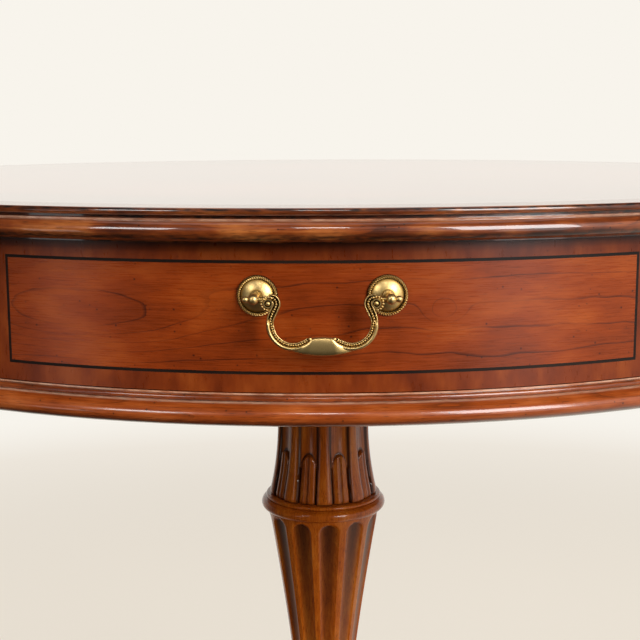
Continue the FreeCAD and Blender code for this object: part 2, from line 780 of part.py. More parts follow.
z_leg_top = z_hub_top - LEG_ROOT_TOP
z_leg_bottom = HUB_BOTTOM + LEG_ROOT_BOTTOM
z_toe = GLIDE_HEIGHT + CAP_WALL
leg_start = HUB_RADIUS - TENON_DEPTH


def swept_arc(start, end, sag):
    """An arc between two points that sags towards the floor and the hub."""
    chord = end - start
    down = Vector(chord.z, 0, -chord.x).normalize()
    return Part.Arc(start, (start + end) / 2 + down * sag, end)


def tenon(gap):
    half = TENON_WIDTH / 2 + gap
    inner = HUB_RADIUS - TENON_DEPTH - gap
    low = z_leg_bottom + TENON_SHOULDER - gap
    high = z_leg_top - TENON_TOP_SHOULDER + gap
    return box(inner, HUB_RADIUS, -half, half, low, high)


def leg():
    """A swept leg along +X: its root follows the round hub, and its tenon goes into it."""
    half = LEG_WIDTH / 2
    root_top = Vector(HUB_RADIUS, -half, z_leg_top)
    root_bottom = Vector(HUB_RADIUS, -half, z_leg_bottom)
    toe_top = Vector(LEG_REACH, -half, z_toe + LEG_TOE_DEPTH)
    toe_bottom = Vector(LEG_REACH, -half, z_toe)
    inner_top = Vector(leg_start, -half, z_leg_top)
    inner_bottom = Vector(leg_start, -half, z_leg_bottom)
    edges = [
        Part.LineSegment(inner_top, root_top),
        swept_arc(root_top, toe_top, LEG_TOP_SAG),
        Part.LineSegment(toe_top, toe_bottom),
        swept_arc(root_bottom, toe_bottom, LEG_BOTTOM_SAG),
        Part.LineSegment(root_bottom, inner_bottom),
        Part.LineSegment(inner_bottom, inner_top),
    ]
    face = Part.Face(Part.Wire([edge.toShape() for edge in edges]))
    blank = face.extrude(Vector(0, LEG_WIDTH, 0))
    return blank.cut(disc(HUB_RADIUS, HUB_BOTTOM, z_hub_top)).fuse(tenon(0)).removeSplitter()


def toe_cap():
    """A brass box over the end of the leg, open where the leg goes in."""
    half = LEG_WIDTH / 2 + CAP_WALL
    mouth = LEG_REACH + CAP_WALL - CAP_LENGTH
    nose = LEG_REACH + CAP_WALL
    root_top = Vector(HUB_RADIUS, 0, z_leg_top)
    toe_top = Vector(LEG_REACH, 0, z_toe + LEG_TOE_DEPTH)
    circle = swept_arc(root_top, toe_top, LEG_TOP_SAG).toShape().Curve
    leg_high = circle.Center.z - math.sqrt(circle.Radius**2 - (mouth - circle.Center.x) ** 2)
    mouth_top = max(leg_high, toe_top.z) + CAP_WALL
    nose_top = z_toe + LEG_TOE_DEPTH + CAP_WALL
    corners = [(mouth, GLIDE_HEIGHT), (nose, GLIDE_HEIGHT), (nose, nose_top), (mouth, mouth_top)]
    face = outline(*corners)
    block = face.extrude(Vector(0, 2 * half, 0)).translated(Vector(0, -half, 0))
    return block.cut(leg())


def foot_glide():
    place = Vector(LEG_REACH - CAP_LENGTH / 2, 0, 0)
    return disc(GLIDE_RADIUS, 0, GLIDE_HEIGHT).translated(place)


leg_angles = [2 * math.pi * (index + 0.5) / LEG_COUNT for index in range(LEG_COUNT)]


def pedestal_hub():
    hub = turned(
        (0, HUB_BOTTOM),
        (HUB_RADIUS - HUB_BEVEL, HUB_BOTTOM),
        (HUB_RADIUS, HUB_BOTTOM + HUB_BEVEL),
        (HUB_RADIUS, z_hub_top - HUB_BEVEL),
        (HUB_RADIUS - HUB_BEVEL, z_hub_top),
        (0, z_hub_top),
    )
    mortises = [about_axis(tenon(JOINT_GAP), angle) for angle in leg_angles]
    return hub.cut(mortises + [rod_bore(HUB_BOTTOM, z_hub_top)])


def tie_rod():
    """The threaded rod down the middle of the column, with a washer and a nut at each end."""
    washer_high = z_board_under - COUNTERBORE_DEPTH + ROD_WASHER_HEIGHT
    nut_high = washer_high + ROD_NUT_HEIGHT
    washer_low = HUB_BOTTOM - ROD_WASHER_HEIGHT
    nut_low = washer_low - ROD_NUT_HEIGHT
    rod = disc(ROD_RADIUS, nut_low - ROD_END, nut_high + ROD_END)
    pieces = [rod]
    for low, high in ((washer_high - ROD_WASHER_HEIGHT, washer_high), (washer_low, HUB_BOTTOM)):
        pieces.append(ring(ROD_RADIUS + JOINT_GAP, ROD_WASHER_RADIUS, low, high))
    for low, high in ((washer_high, nut_high), (nut_low, washer_low)):
        pieces.append(hexagon(ROD_NUT_RADIUS, low, high).cut(rod_bore(low, high)))
    return group(pieces)


nodes["head_plate"] = head_plate()
nodes["pedestal_shaft"] = pedestal_shaft()
nodes["pedestal_vase"] = pedestal_vase()
nodes["pedestal_hub"] = pedestal_hub()
nodes["tie_rod"] = tie_rod()
nodes["legs"] = group(about_axis(leg(), angle) for angle in leg_angles)
nodes["toe_caps"] = group(about_axis(toe_cap(), angle) for angle in leg_angles)
nodes["foot_glides"] = group(about_axis(foot_glide(), angle) for angle in leg_angles)
nodes["wood_screws"] = group(screws_at(kicker_screws + head_screws, 0))

os.makedirs("parts", exist_ok=True)
for name, shape in nodes.items():
    shape.exportStep(f"parts/{name}.step")
    print(name, len(shape.Solids), round(shape.Volume), shape.isValid())
print(len(nodes), "nodes")
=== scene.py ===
# %% [markdown]
# # A round captain's desk, dressed for its picture
# The desk is a drum on a carved pedestal: a moulded round top, six bowed fronts with brass pulls, a fluted
# column and four swept legs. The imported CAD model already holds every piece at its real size, so this
# lesson only adds what CAD leaves plain: finishes, carving and the cast detail of the brass.
# Loading the frame first keeps one set of coordinates. Everything below is in metres, +Z up.

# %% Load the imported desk
import json
import math

import bmesh
import bpy
import numpy as np
from mathutils import Matrix, Vector


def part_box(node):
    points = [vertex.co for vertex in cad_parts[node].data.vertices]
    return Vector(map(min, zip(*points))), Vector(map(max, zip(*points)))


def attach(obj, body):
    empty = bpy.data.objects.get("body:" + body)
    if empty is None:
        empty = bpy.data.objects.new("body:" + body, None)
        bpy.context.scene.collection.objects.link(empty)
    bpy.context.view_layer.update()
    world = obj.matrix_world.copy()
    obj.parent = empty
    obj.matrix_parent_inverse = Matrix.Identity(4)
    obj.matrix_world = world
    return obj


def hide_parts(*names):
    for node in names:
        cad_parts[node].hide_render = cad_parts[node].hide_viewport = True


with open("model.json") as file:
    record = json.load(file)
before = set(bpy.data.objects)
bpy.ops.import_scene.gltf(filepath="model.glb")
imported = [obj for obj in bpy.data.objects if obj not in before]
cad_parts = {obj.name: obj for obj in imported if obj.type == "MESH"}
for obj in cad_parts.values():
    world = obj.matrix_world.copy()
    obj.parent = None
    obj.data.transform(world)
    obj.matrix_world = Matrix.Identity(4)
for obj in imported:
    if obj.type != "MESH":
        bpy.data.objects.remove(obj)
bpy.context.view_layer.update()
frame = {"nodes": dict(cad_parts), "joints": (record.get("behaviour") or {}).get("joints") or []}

MM = 0.001

# %% [markdown]
# ## The camera
# The photograph was taken close to the drawer front, a little above the top, with a short telephoto lens.
# Its place and tilt were worked out from the edges of the top and of the inlay, so the camera is set
# by real distances and angles, and not by eye. Turning the matrix in three plain steps (heading, tilt, roll)
# is easier to follow than one set of Euler angles.

# %% Camera
PHOTO_WIDTH = 640
FOCAL_LENGTH_PIXELS = 1217.2
CAMERA_PLACE = Vector((0.0004, -1.1643, 0.8239))
CAMERA_HEADING = 0.0025
CAMERA_TILT = 0.1597  # below the horizon, in radians
CAMERA_ROLL = -0.0042

camera_data = bpy.data.cameras.new("photo_camera")
camera_data.sensor_width = 36
camera_data.lens = FOCAL_LENGTH_PIXELS / PHOTO_WIDTH * camera_data.sensor_width
camera = bpy.data.objects.new("photo_camera", camera_data)
heading = Matrix.Rotation(CAMERA_HEADING, 4, "Z")
tilt = Matrix.Rotation(math.pi / 2 - CAMERA_TILT, 4, "X")
roll = Matrix.Rotation(CAMERA_ROLL, 4, "Z")
camera.matrix_world = Matrix.Translation(CAMERA_PLACE) @ heading @ tilt @ roll
bpy.context.scene.collection.objects.link(camera)
bpy.context.scene.camera = camera
bpy.context.scene.view_settings.view_transform = "Standard"
print("lens", round(camera_data.lens, 2), "mm")

# %% [markdown]
# ## Small helpers for materials
# A shader is a graph of nodes. One function that adds a node, sets its properties and links its inputs
# keeps each material readable as a list of steps. Colours are written as the sRGB hex values that a paint
# chart or a picture shows, and one function turns them into the linear values that light needs.

# %% Colour and node helpers
def paint(code):
    """Linear RGBA of an sRGB hex colour such as #8C3713."""
    shares = [int(code[start:start + 2], 16) / 255 for start in (1, 3, 5)]
    linear = [share / 12.92 if share <= 0.04045 else ((share + 0.055) / 1.055) ** 2.4 for share in shares]
    return (*linear, 1.0)


def add_node(tree, kind, inputs=None, stops=None, **settings):
    """Adds a node. An input takes a value, a socket or a node, and stops fill a colour ramp."""
    node = tree.nodes.new("ShaderNode" + kind)
    for name, value in settings.items():
        setattr(node, name, value)
    if stops:
        ramp = node.color_ramp.elements
        while len(ramp) < len(stops):
            ramp.new(0.5)
        for element, (position, code) in zip(ramp, stops):
            element.position = position
            element.color = paint(code)
    for name, value in (inputs or {}).items():
        socket = next(s for s in node.inputs if s.enabled and name in (s.identifier, s.name))
        if isinstance(value, bpy.types.Node):
            value = next(s for s in value.outputs if s.enabled)
        if isinstance(value, bpy.types.NodeSocket):
            tree.links.new(value, socket)
        else:
            socket.default_value = value
    return node


def new_material(name):
    material = bpy.data.materials.new(name)
    material.use_nodes = True
    tree = material.node_tree
    return material, tree, tree.nodes["Principled BSDF"]


print("brown in linear light", [round(share, 3) for share in paint("#8C3713")])

# %% [markdown]
# ## The studio
# A cove is a floor that curves up into a wall, so no corner shows behind the object. It is turned from one
# outline as a wide bowl, and then there is a pale background whichever side the desk is seen from.

# %% Studio cove
COVE_FLOOR_RADIUS = 4.0
COVE_BEND = 1.2
COVE_HEIGHT = 4.5
COVE_SIDES = 96
BEND_STEPS = 12
FLOOR_RINGS = (0.02, 1.0, COVE_FLOOR_RADIUS)  # radii, the first round a small hole that is filled below

cove_profile = [(radius, 0.0) for radius in FLOOR_RINGS]
for step in range(1, BEND_STEPS + 1):
    angle = math.pi / 2 * step / BEND_STEPS
    cove_profile.append((COVE_FLOOR_RADIUS + COVE_BEND * math.sin(angle), COVE_BEND * (1 - math.cos(angle))))
cove_profile.append((COVE_FLOOR_RADIUS + COVE_BEND, COVE_HEIGHT))

cove_mesh = bmesh.new()
spine = [cove_mesh.verts.new((radius, 0, height)) for radius, height in cove_profile]
spine_edges = [cove_mesh.edges.new(ends) for ends in zip(spine, spine[1:])]
bmesh.ops.spin(
    cove_mesh, geom=spine + spine_edges, cent=(0, 0, 0), axis=(0, 0, 1), angle=2 * math.pi, steps=COVE_SIDES
)
bmesh.ops.remove_doubles(cove_mesh, verts=cove_mesh.verts, dist=1e-5)
hole = [edge for edge in cove_mesh.edges if edge.is_boundary and edge.verts[0].co.z < 0.01]
bmesh.ops.holes_fill(cove_mesh, edges=hole)
cove_data = bpy.data.meshes.new("studio_cove")
cove_mesh.to_mesh(cove_data)
cove_mesh.free()
cove_data.shade_smooth()
studio_cove = bpy.data.objects.new("studio_cove", cove_data)
bpy.context.scene.collection.objects.link(studio_cove)
print("cove", len(cove_data.polygons), "faces")

# %% [markdown]
# The paint of the cove mixes a matt surface, which keeps the shadow, with its own pale colour. Light Path
# says what kind of ray is asking. Rays from the camera see more of the pale colour further out, and rays
# from gloss see only that. On the camera's side the cove is dim in reflections, as the unlit half of a studio
# is, so that polished wood keeps its depth. The matt part gets darker further out and for light that
# bounces off it, so that the underside of the mouldings stays in shade.

# %% Matt emulsion on the cove
SHADOW_REACH = (0.8, 2.4)  # from the first radius on, the floor shows more and more of its own colour
NEAR_SHARE = 0.7
DIM_DIRECTION = (0.85, 1.0, 0.0)  # reflections are dim towards the camera's left and brighter this way
DIM_RANGE = (-0.9, 0.5)
DIM_LEVEL = 0.03

cove_paint, tree, shader = new_material("matt_emulsion_cove")
shader.inputs["Roughness"].default_value = 0.9
shader.inputs["Specular IOR Level"].default_value = 0.1
place = add_node(tree, "NewGeometry").outputs["Position"]
rays = add_node(tree, "LightPath").outputs
distance = add_node(tree, "VectorMath", {"Vector": place}, operation="LENGTH").outputs["Value"]
far = {"Value": distance, "From Min": SHADOW_REACH[0], "From Max": SHADOW_REACH[1]}
far = add_node(tree, "MapRange", far, interpolation_type="SMOOTHSTEP")
bounced = add_node(tree, "Math", {"Value": far, "Value_001": rays["Is Diffuse Ray"]}, operation="MAXIMUM")
base = add_node(tree, "ValToRGB", {"Fac": bounced}, stops=[(0.0, "#EAE3D7"), (1.0, "#7F7A73")])
tree.links.new(base.outputs["Color"], shader.inputs["Base Color"])
own = add_node(tree, "MapRange", {"Value": far, "To Min": NEAR_SHARE, "To Max": 1.0})
own = add_node(tree, "Math", {"Value": own, "Value_001": rays["Is Camera Ray"]}, operation="MULTIPLY")
for kind in ("Is Glossy Ray", "Is Transmission Ray"):
    own = add_node(tree, "Math", {"Value": own, "Value_001": rays[kind]}, operation="MAXIMUM")
flat = add_node(tree, "VectorMath", {"Vector": place, "Vector_001": (1, 1, 0)}, operation="MULTIPLY")
bearing = add_node(tree, "VectorMath", {"Vector": flat}, operation="NORMALIZE")
facing = {"Vector": bearing, "Vector_001": DIM_DIRECTION}
facing = add_node(tree, "VectorMath", facing, operation="DOT_PRODUCT").outputs["Value"]
level = {"Value": facing, "From Min": DIM_RANGE[0], "From Max": DIM_RANGE[1], "To Min": DIM_LEVEL}
level = add_node(tree, "MapRange", level, interpolation_type="SMOOTHSTEP")
level = add_node(tree, "Math", {"Value": level, "Value_001": rays["Is Camera Ray"]}, operation="MAXIMUM")
# Darker near the desk: painted shade on the floor round it, as camera rays see it.
shade = [(0.0, "#E9E0D2"), (0.8, "#F1EADF"), (1.0, "#F8F4EC")]
shade = add_node(tree, "ValToRGB", {"Fac": far}, stops=shade)
glow = add_node(tree, "Emission", {"Color": shade.outputs["Color"], "Strength": level})
mixed = add_node(tree, "MixShader", {"Fac": own, "Shader": shader, "Shader_001": glow})
tree.links.new(mixed.outputs["Shader"], tree.nodes["Material Output"].inputs["Surface"])
cove_data.materials.append(cove_paint)
print("cove paint", cove_paint.name)

# %% [markdown]
# ## Light
# The shadow under the top is short on the right of the front and longer on the left, and the highlights on
# the mouldings lie about 40 degrees to either side. So two soft lamps stand left and right of the camera,
# the right one lower and much stronger. A small lamp over the camera gives the short glint in the middle,
# and two weak cards, lower than the drum, fill the undersides. A wide lamp overhead lights the floor and
# the top, and two more light the far fronts. Those two are hidden from gloss, because polish would show
# them as hard white patches.

# %% Softboxes
# Place, width and height, and watts of each lamp
SOFTBOXES = {
    "softbox_left": ((-1.32, -2.03, 1.76), (0.6, 0.6), 13),
    "softbox_right": ((1.26, -1.96, 1.52), (0.9, 1.3), 47),
    "lamp_over_camera": ((0.0, -1.7, 2.1), (0.3, 0.2), 4),
    "card_left": ((-1.60, -1.60, 0.40), (0.4, 0.6), 1.0),
    "card_right": ((1.30, -1.90, 0.40), (0.5, 0.6), 1.5),
    "softbox_overhead": ((0.0, 0.5, 3.3), (2.4, 2.4), 13),
    "softbox_back_left": ((-1.9, 1.7, 1.8), (1.0, 1.0), 40),
    "softbox_back_right": ((1.9, 1.7, 1.8), (1.0, 1.0), 40),
}
LAMP_TARGET = Vector((0, 0, 0.66))

for name, (spot, size, watts) in SOFTBOXES.items():
    lamp_data = bpy.data.lights.new(name, "AREA")
    lamp_data.shape = "RECTANGLE"
    lamp_data.size, lamp_data.size_y = size
    lamp_data.energy = watts
    lamp = bpy.data.objects.new(name, lamp_data)
    lamp.location = spot
    lamp.visible_glossy = "back" not in name
    lamp.rotation_euler = (LAMP_TARGET - lamp.location).to_track_quat("-Z", "Y").to_euler()
    bpy.context.scene.collection.objects.link(lamp)
print("lamps", len(SOFTBOXES))

# %% [markdown]
# The air of the studio is an even pale world. It fills the shadows a little. Gloss sees less of it, as of a
# dark ceiling, and the camera sees it at full strength.

# %% World
WORLD_LIGHT = 0.15
WORLD_GLOSS = 0.06

world = bpy.data.worlds.new("studio_air")
bpy.context.scene.world = world
world.use_nodes = True
tree = world.node_tree
sky = tree.nodes["Background"]
sky.inputs["Color"].default_value = paint("#F7F3EC")
rays = add_node(tree, "LightPath").outputs
level = {"Value": rays["Is Glossy Ray"], "To Min": WORLD_LIGHT, "To Max": WORLD_GLOSS}
level = add_node(tree, "MapRange", level)
level = add_node(tree, "Math", {"Value": level, "Value_001": rays["Is Camera Ray"]}, operation="MAXIMUM")
tree.links.new(level.outputs["Value"], sky.inputs["Strength"])
print("world light", WORLD_LIGHT)

# %% [markdown]
# ## Wood grain that follows the piece
# Veneer and mouldings are cut so that the grain runs a certain way: round the drum, up a column, outward
# from the centre, or straight along a board. Stretched noise draws grain, so one function builds
# coordinates that are shortened along the grain. Using the direction from the axis, and not an angle,
# leaves no seam behind the desk. The fourth noise dimension carries the distance from the axis.

# %% Grain coordinates
drum_radius = -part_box("drawer_1_face_veneer")[0].y
GRAIN_RUNS = {
    "round": lambda stretch: (drum_radius / stretch, (0, 0, 1), 1.0),
    "outward": lambda stretch: (drum_radius, (0, 0, 1), 1 / stretch),
    "upright": lambda stretch: (0.0, (1, 1, 1 / stretch), 0.0),
    "straight": lambda stretch: (0.0, (1 / stretch, 1, 1), 0.0),
}


def grain_noise(tree, run, stretch, size, seed, detail=2.0, roughness=0.5):
    """Noise with spots of a given size across the grain, drawn out along it."""
    turning, plain, outward = GRAIN_RUNS[run](stretch)
    place = add_node(tree, "TexCoord").outputs["Object"]
    flat = add_node(tree, "VectorMath", {"Vector": place, "Vector_001": (1, 1, 0)}, operation="MULTIPLY")
    direction = add_node(tree, "VectorMath", {"Vector": flat}, operation="NORMALIZE")
    around = add_node(tree, "VectorMath", {"Vector": direction, "Scale": turning}, operation="SCALE")
    spot = {"Vector": place, "Vector_001": plain, "Vector_002": around}
    spot = add_node(tree, "VectorMath", spot, operation="MULTIPLY_ADD").outputs["Vector"]
    radius = add_node(tree, "VectorMath", {"Vector": flat}, operation="LENGTH").outputs["Value"]
    depth = {"Value": radius, "Value_001": outward, "Value_002": seed}
    depth = add_node(tree, "Math", depth, operation="MULTIPLY_ADD")
    inputs = {"Vector": spot, "W": depth, "Scale": 1 / size, "Detail": detail, "Roughness": roughness}
    return add_node(tree, "TexNoise", inputs, noise_dimensions="4D").outputs["Fac"]


def mix(tree, share, first, second, **settings):
    """Colour between two colours, or another blend of them where the settings name one."""
    inputs = {"Factor_Float": share, "A_Color": first, "B_Color": second}
    node = add_node(tree, "Mix", inputs, data_type="RGBA", **settings)
    return next(socket for socket in node.outputs if socket.enabled)


def ramp(tree, value, low, high, start=0.0, end=1.0):
    """A value carried from one range to another, held at its ends."""
    inputs = {"Value": value, "From Min": low, "From Max": high, "To Min": start, "To Max": end}
    return add_node(tree, "MapRange", inputs).outputs["Result"]


print("drum radius", round(drum_radius / MM, 1), "mm")

# %% [markdown]
# ## A recipe for polished wood
# Mahogany shows four things at once: fine lengthwise streaks, broad darker clouds, the wandering lines of
# growth rings, and short dark pores. Each is one noise at its own real size. Growth rings come from slicing
# a slow noise into steps, which gives the loops and points of a flat-sawn board. They fade in the light
# clouds. Old polish adds small dark flecks where the finish was distressed. Real pores are about 0.2 mm
# wide: they are drawn about 0.6 mm wide here, so that they show at all.

# %% Wood recipe
CLOUD_STRETCH = 2.4
RING_SIZE = 34 * MM
RING_STRETCH = 6.5
RINGS_IN_NOISE = 13.0
PORE_WIDTH = 0.6 * MM
PORE_STRETCH = 11
FLECK_SPACING = 6.5 * MM
FLECK_RADIUS = 0.8 * MM


def growth_lines(tree, height, width=0.14):
    """Thin dark lines wherever a slowly changing height passes a whole number."""
    part = add_node(tree, "Math", {"Value": height}, operation="FRACT")
    return ramp(tree, part, 0.0, width, 1.0, 0.0)


def wood(
    tree, run, tones, seed, streak=1.3 * MM, stretch=34, cloud=42 * MM, mottle=0.6,
    rings=0.35, open_pores=0.5, flecks=0.7, lines=None,
):
    """Adds the pattern of a wood and returns sockets for its colour, streaks and pores.

    Streak and cloud are sizes across the grain. Mottle is the share of clouds among the streaks, and rings,
    open_pores and flecks say how strongly each of these shows.
    """
    dark, middle, light, deep = tones
    streaks = grain_noise(tree, run, stretch, streak, seed, 4.0, 0.62)
    clouds = grain_noise(tree, run, CLOUD_STRETCH, cloud, seed + 3, 3.0, 0.55)
    blend = {"Factor_Float": mottle, "A_Float": streaks, "B_Float": clouds}
    blend = add_node(tree, "Mix", blend, data_type="FLOAT")
    base = add_node(tree, "ValToRGB", {"Fac": blend}, stops=[(0.36, dark), (0.5, middle), (0.64, light)])
    if lines is None:
        slow = grain_noise(tree, run, RING_STRETCH, RING_SIZE, seed + 7, 1.6, 0.4)
        slow = add_node(tree, "Math", {"Value": slow, "Value_001": RINGS_IN_NOISE}, operation="MULTIPLY")
        lines = growth_lines(tree, slow)
    faded = ramp(tree, clouds, 0.42, 0.6, rings, 0.3 * rings)
    share = add_node(tree, "Math", {"Value": lines, "Value_001": faded}, operation="MULTIPLY")
    colour = mix(tree, share, base, paint(deep))
    pores = grain_noise(tree, run, PORE_STRETCH, PORE_WIDTH, seed + 11, 1.0)
    pores = ramp(tree, pores, 0.6, 0.72, 0.0, open_pores)
    colour = mix(tree, pores, colour, paint(deep))
    place = add_node(tree, "TexCoord").outputs["Object"]
    cells = add_node(tree, "TexVoronoi", {"Vector": place, "Scale": 1 / FLECK_SPACING}).outputs["Distance"]
    reach = FLECK_RADIUS / FLECK_SPACING
    specks = ramp(tree, cells, 0.5 * reach, reach, flecks, 0.0)
    kept = ramp(tree, clouds, 0.64, 0.48)
    specks = add_node(tree, "Math", {"Value": specks, "Value_001": kept}, operation="MULTIPLY")
    colour = mix(tree, specks, colour, paint(deep))
    return colour, streaks, pores


print("pores", round(PORE_WIDTH / MM, 2), "mm wide, flecks every", round(FLECK_SPACING / MM, 1), "mm")

# %% [markdown]
# Polish fills the pores only in part. It is a little duller over the streaks and dips into the pores, so one
# function links both to the shader of any wood.

# %% Polish
POLISH_RELIEF = 0.08 * MM


def polish(tree, shader, colour, streaks, pores, gloss, bump=0.25):
    """Links a wood's colour, and makes the polish a little duller and lower over streaks and pores."""
    tree.links.new(colour, shader.inputs["Base Color"])
    tree.links.new(ramp(tree, streaks, 0.3, 0.7, *gloss), shader.inputs["Roughness"])
    height = add_node(tree, "Math", {"Value": streaks, "Value_001": pores}, operation="SUBTRACT")
    relief = add_node(tree, "Bump", {"Strength": bump, "Distance": POLISH_RELIEF, "Height": height})
    tree.links.new(relief.outputs["Normal"], shader.inputs["Normal"])


print("relief of the polish", round(POLISH_RELIEF / MM, 2), "mm")

# %% [markdown]
# ## Mahogany face veneer, shellac polished
# The bowed fronts carry flat-cut mahogany veneer with the grain running level round the drum. Its growth
# rings lie nearly level too, but a small knot pushes them into an eye on the right, and a longer swelling
# on the left draws them to a point. Veneer leaves are cut one after the other from the same log, so every
# front repeats the figure, and the angle round the drum, wrapped to one front, gives the place along it.

# %% Figure of the face veneer
FRONT_PITCH = math.radians(60)
RING_SPACING = 15 * MM
RING_PHASE = 0.13
LINE_SHARE = 0.085  # width of a growth line, as a share of the ring spacing
# Place along the front and height of each swelling, its half length and half height, and the rings it lifts
SWELLINGS = [((0.072, 0.715), (0.011, 0.008), 2.0), ((-0.152, 0.710), (0.080, 0.019), 3.2)]
# Size of a wander across the grain, its stretch along the grain, and how many rings it moves a line
WANDERS = [(26 * MM, 2.6, 0.9), (6 * MM, 4.0, 0.25)]

face_veneer, tree, shader = new_material("mahogany_veneer_shellac_polished")
place = add_node(tree, "TexCoord").outputs["Object"]
axes = add_node(tree, "SeparateXYZ", {"Vector": place}).outputs
front = add_node(tree, "Math", {"Value": axes["Y"], "Value_001": -1.0}, operation="MULTIPLY")
angle = add_node(tree, "Math", {"Value": axes["X"], "Value_001": front}, operation="ARCTAN2")
turn_share = {"Value": angle, "Value_001": FRONT_PITCH / 2, "Value_002": -FRONT_PITCH / 2}
angle = add_node(tree, "Math", turn_share, operation="WRAP")
along = add_node(tree, "Math", {"Value": angle, "Value_001": drum_radius}, operation="MULTIPLY")
spot = add_node(tree, "CombineXYZ", {"X": along, "Y": axes["Z"]})
level = {"Value": axes["Z"], "Value_001": 1 / RING_SPACING, "Value_002": RING_PHASE}
rings = add_node(tree, "Math", level, operation="MULTIPLY_ADD")
for (along_middle, level_middle), (length, rise), lift in SWELLINGS:
    away = {"Vector": spot, "Vector_001": (along_middle, level_middle, 0)}
    away = add_node(tree, "VectorMath", away, operation="SUBTRACT")
    away = add_node(tree, "VectorMath", {"Vector": away, "Vector_001": (length, rise, 1)}, operation="DIVIDE")
    square = {"Vector": away, "Vector_001": away}
    square = add_node(tree, "VectorMath", square, operation="DOT_PRODUCT").outputs["Value"]
    square = add_node(tree, "Math", {"Value": square, "Value_001": -1.0}, operation="MULTIPLY")
    bell = add_node(tree, "Math", {"Value": square}, operation="EXPONENT")
    lifted = {"Value": bell, "Value_001": lift, "Value_002": rings}
    rings = add_node(tree, "Math", lifted, operation="MULTIPLY_ADD")
for size, stretch, amount in WANDERS:
    wander = ramp(tree, grain_noise(tree, "round", stretch, size, 2.6, 1.0), 0.0, 1.0, -0.5, 0.5)
    shifted = {"Value": wander, "Value_001": amount, "Value_002": rings}
    rings = add_node(tree, "Math", shifted, operation="MULTIPLY_ADD")
lines = growth_lines(tree, rings, LINE_SHARE)
print("figure of", face_veneer.name, len(tree.nodes), "nodes")

# %% [markdown]
# Shellac over open pores gives a satin gloss: a soft sheen, warm red-brown depth, and no sharp mirror. The
# leaf is painted paler towards its right end, partly its own tone and partly painted light for the stronger
# lamp on the right, so a tint over the place along the front is multiplied in.

# %% Finish of the face veneer
FACE_TONES = ("#742C08", "#8F390B", "#A64C16", "#35130A")
PAINTED_LIGHT_REACH = 0.12
PAINTED_LIGHT_TINTS = [(0.0, "#F4EEE8"), (0.5, "#EDE6DC"), (1.0, "#FFFFFF")]

colour, streaks, pores = wood(
    tree, "round", FACE_TONES, 2.0, streak=0.8 * MM, stretch=24, cloud=26 * MM,
    mottle=0.66, rings=0.9, open_pores=0.3, flecks=0.9, lines=lines,
)
# Paler to the right: the leaf's own tone, with painted light for the stronger right lamp.
tone_and_painted_light = add_node(tree, "ValToRGB", {"Fac": ramp(tree, along, -PAINTED_LIGHT_REACH, PAINTED_LIGHT_REACH)}, stops=PAINTED_LIGHT_TINTS)
colour = mix(tree, 1.0, colour, tone_and_painted_light, blend_type="MULTIPLY")
polish(tree, shader, colour, streaks, pores, gloss=(0.24, 0.34))
shader.inputs["Specular IOR Level"].default_value = 0.32
print(face_veneer.name, len(tree.nodes), "nodes")

# %% [markdown]
# ## Crossbanding
# A crossband is a narrow border cut across the grain, so its figure runs at right angles to the edge. On
# the fronts that is upright along the top and bottom, and the stiles between the fronts share it. Close
# under the top it is painted darker: a painted shadow of the overhanging top.

# %% Crossbands on the fronts
BAND_TONES = ("#662609", "#7A310C", "#8D4013", "#5A2209")
BAND_STREAK = 2.4 * MM
UNDER_TOP_SHADOW_REACH = 6.5 * MM

crossband, tree, shader = new_material("mahogany_crossband_shellac_polished")
colour, streaks, pores = wood(
    tree, "upright", BAND_TONES, 5.0, streak=BAND_STREAK, stretch=3, cloud=15 * MM,
    mottle=0.85, rings=0.05, open_pores=0.05,
)
place = add_node(tree, "TexCoord").outputs["Object"]
level = add_node(tree, "SeparateXYZ", {"Vector": place}).outputs["Z"]
under_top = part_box("drawer_1_crossbanding")[1].z
# Painted shadow: the band darkens towards the overhanging top.
painted_shadow_under_top = ramp(tree, level, under_top - UNDER_TOP_SHADOW_REACH, under_top, 0.0, 0.9)
colour = mix(tree, painted_shadow_under_top, colour, paint("#1E0A03"))
polish(tree, shader, colour, streaks, pores, gloss=(0.26, 0.34), bump=0.1)
shader.inputs["Specular IOR Level"].default_value = 0.32
print(crossband.name)

# %% [markdown]
# ## The top
# The top is the most polished surface: at a low angle it mirrors the studio behind it. Two layers of gloss,
# the wood's own and a clear coat over it, reflect nearly all the light there, as many rubbed coats of
# polish do. They lie over the field, the black string line and the crossband, whose grain runs outward
# from the centre, so one function finishes all three.

# %% Rubbed polish on the top
TOP_VENEER_TONES = ("#601F09", "#86300E", "#A4481B", "#351207")
STRING_TONES = ("#140D09", "#1C130E", "#281C14", "#0C0806")


def rubbed_top(name, run, tones, seed, **figure):
    """Veneer or inlay of the top under its rubbed polish."""
    material, tree, shader = new_material(name)
    polish(tree, shader, *wood(tree, run, tones, seed, **figure), gloss=(0.14, 0.18), bump=0.04)
    shader.inputs["Coat Weight"].default_value = 1.0
    shader.inputs["Coat Roughness"].default_value = 0.13
    return material


top_veneer = rubbed_top(
    "mahogany_top_veneer_rubbed_polish", "straight", TOP_VENEER_TONES, 11.0, cloud=90 * MM
)
top_band = rubbed_top(
    "mahogany_radial_crossband_polished", "outward", BAND_TONES, 8.0, streak=BAND_STREAK, stretch=6,
    cloud=22 * MM, rings=0.05, open_pores=0.2, flecks=0.3,
)
top_string = rubbed_top(
    "dyed_black_string_under_rubbed_polish", "round", STRING_TONES, 33.0, rings=0.1, flecks=0.2
)
print(top_veneer.name, top_band.name, top_string.name)

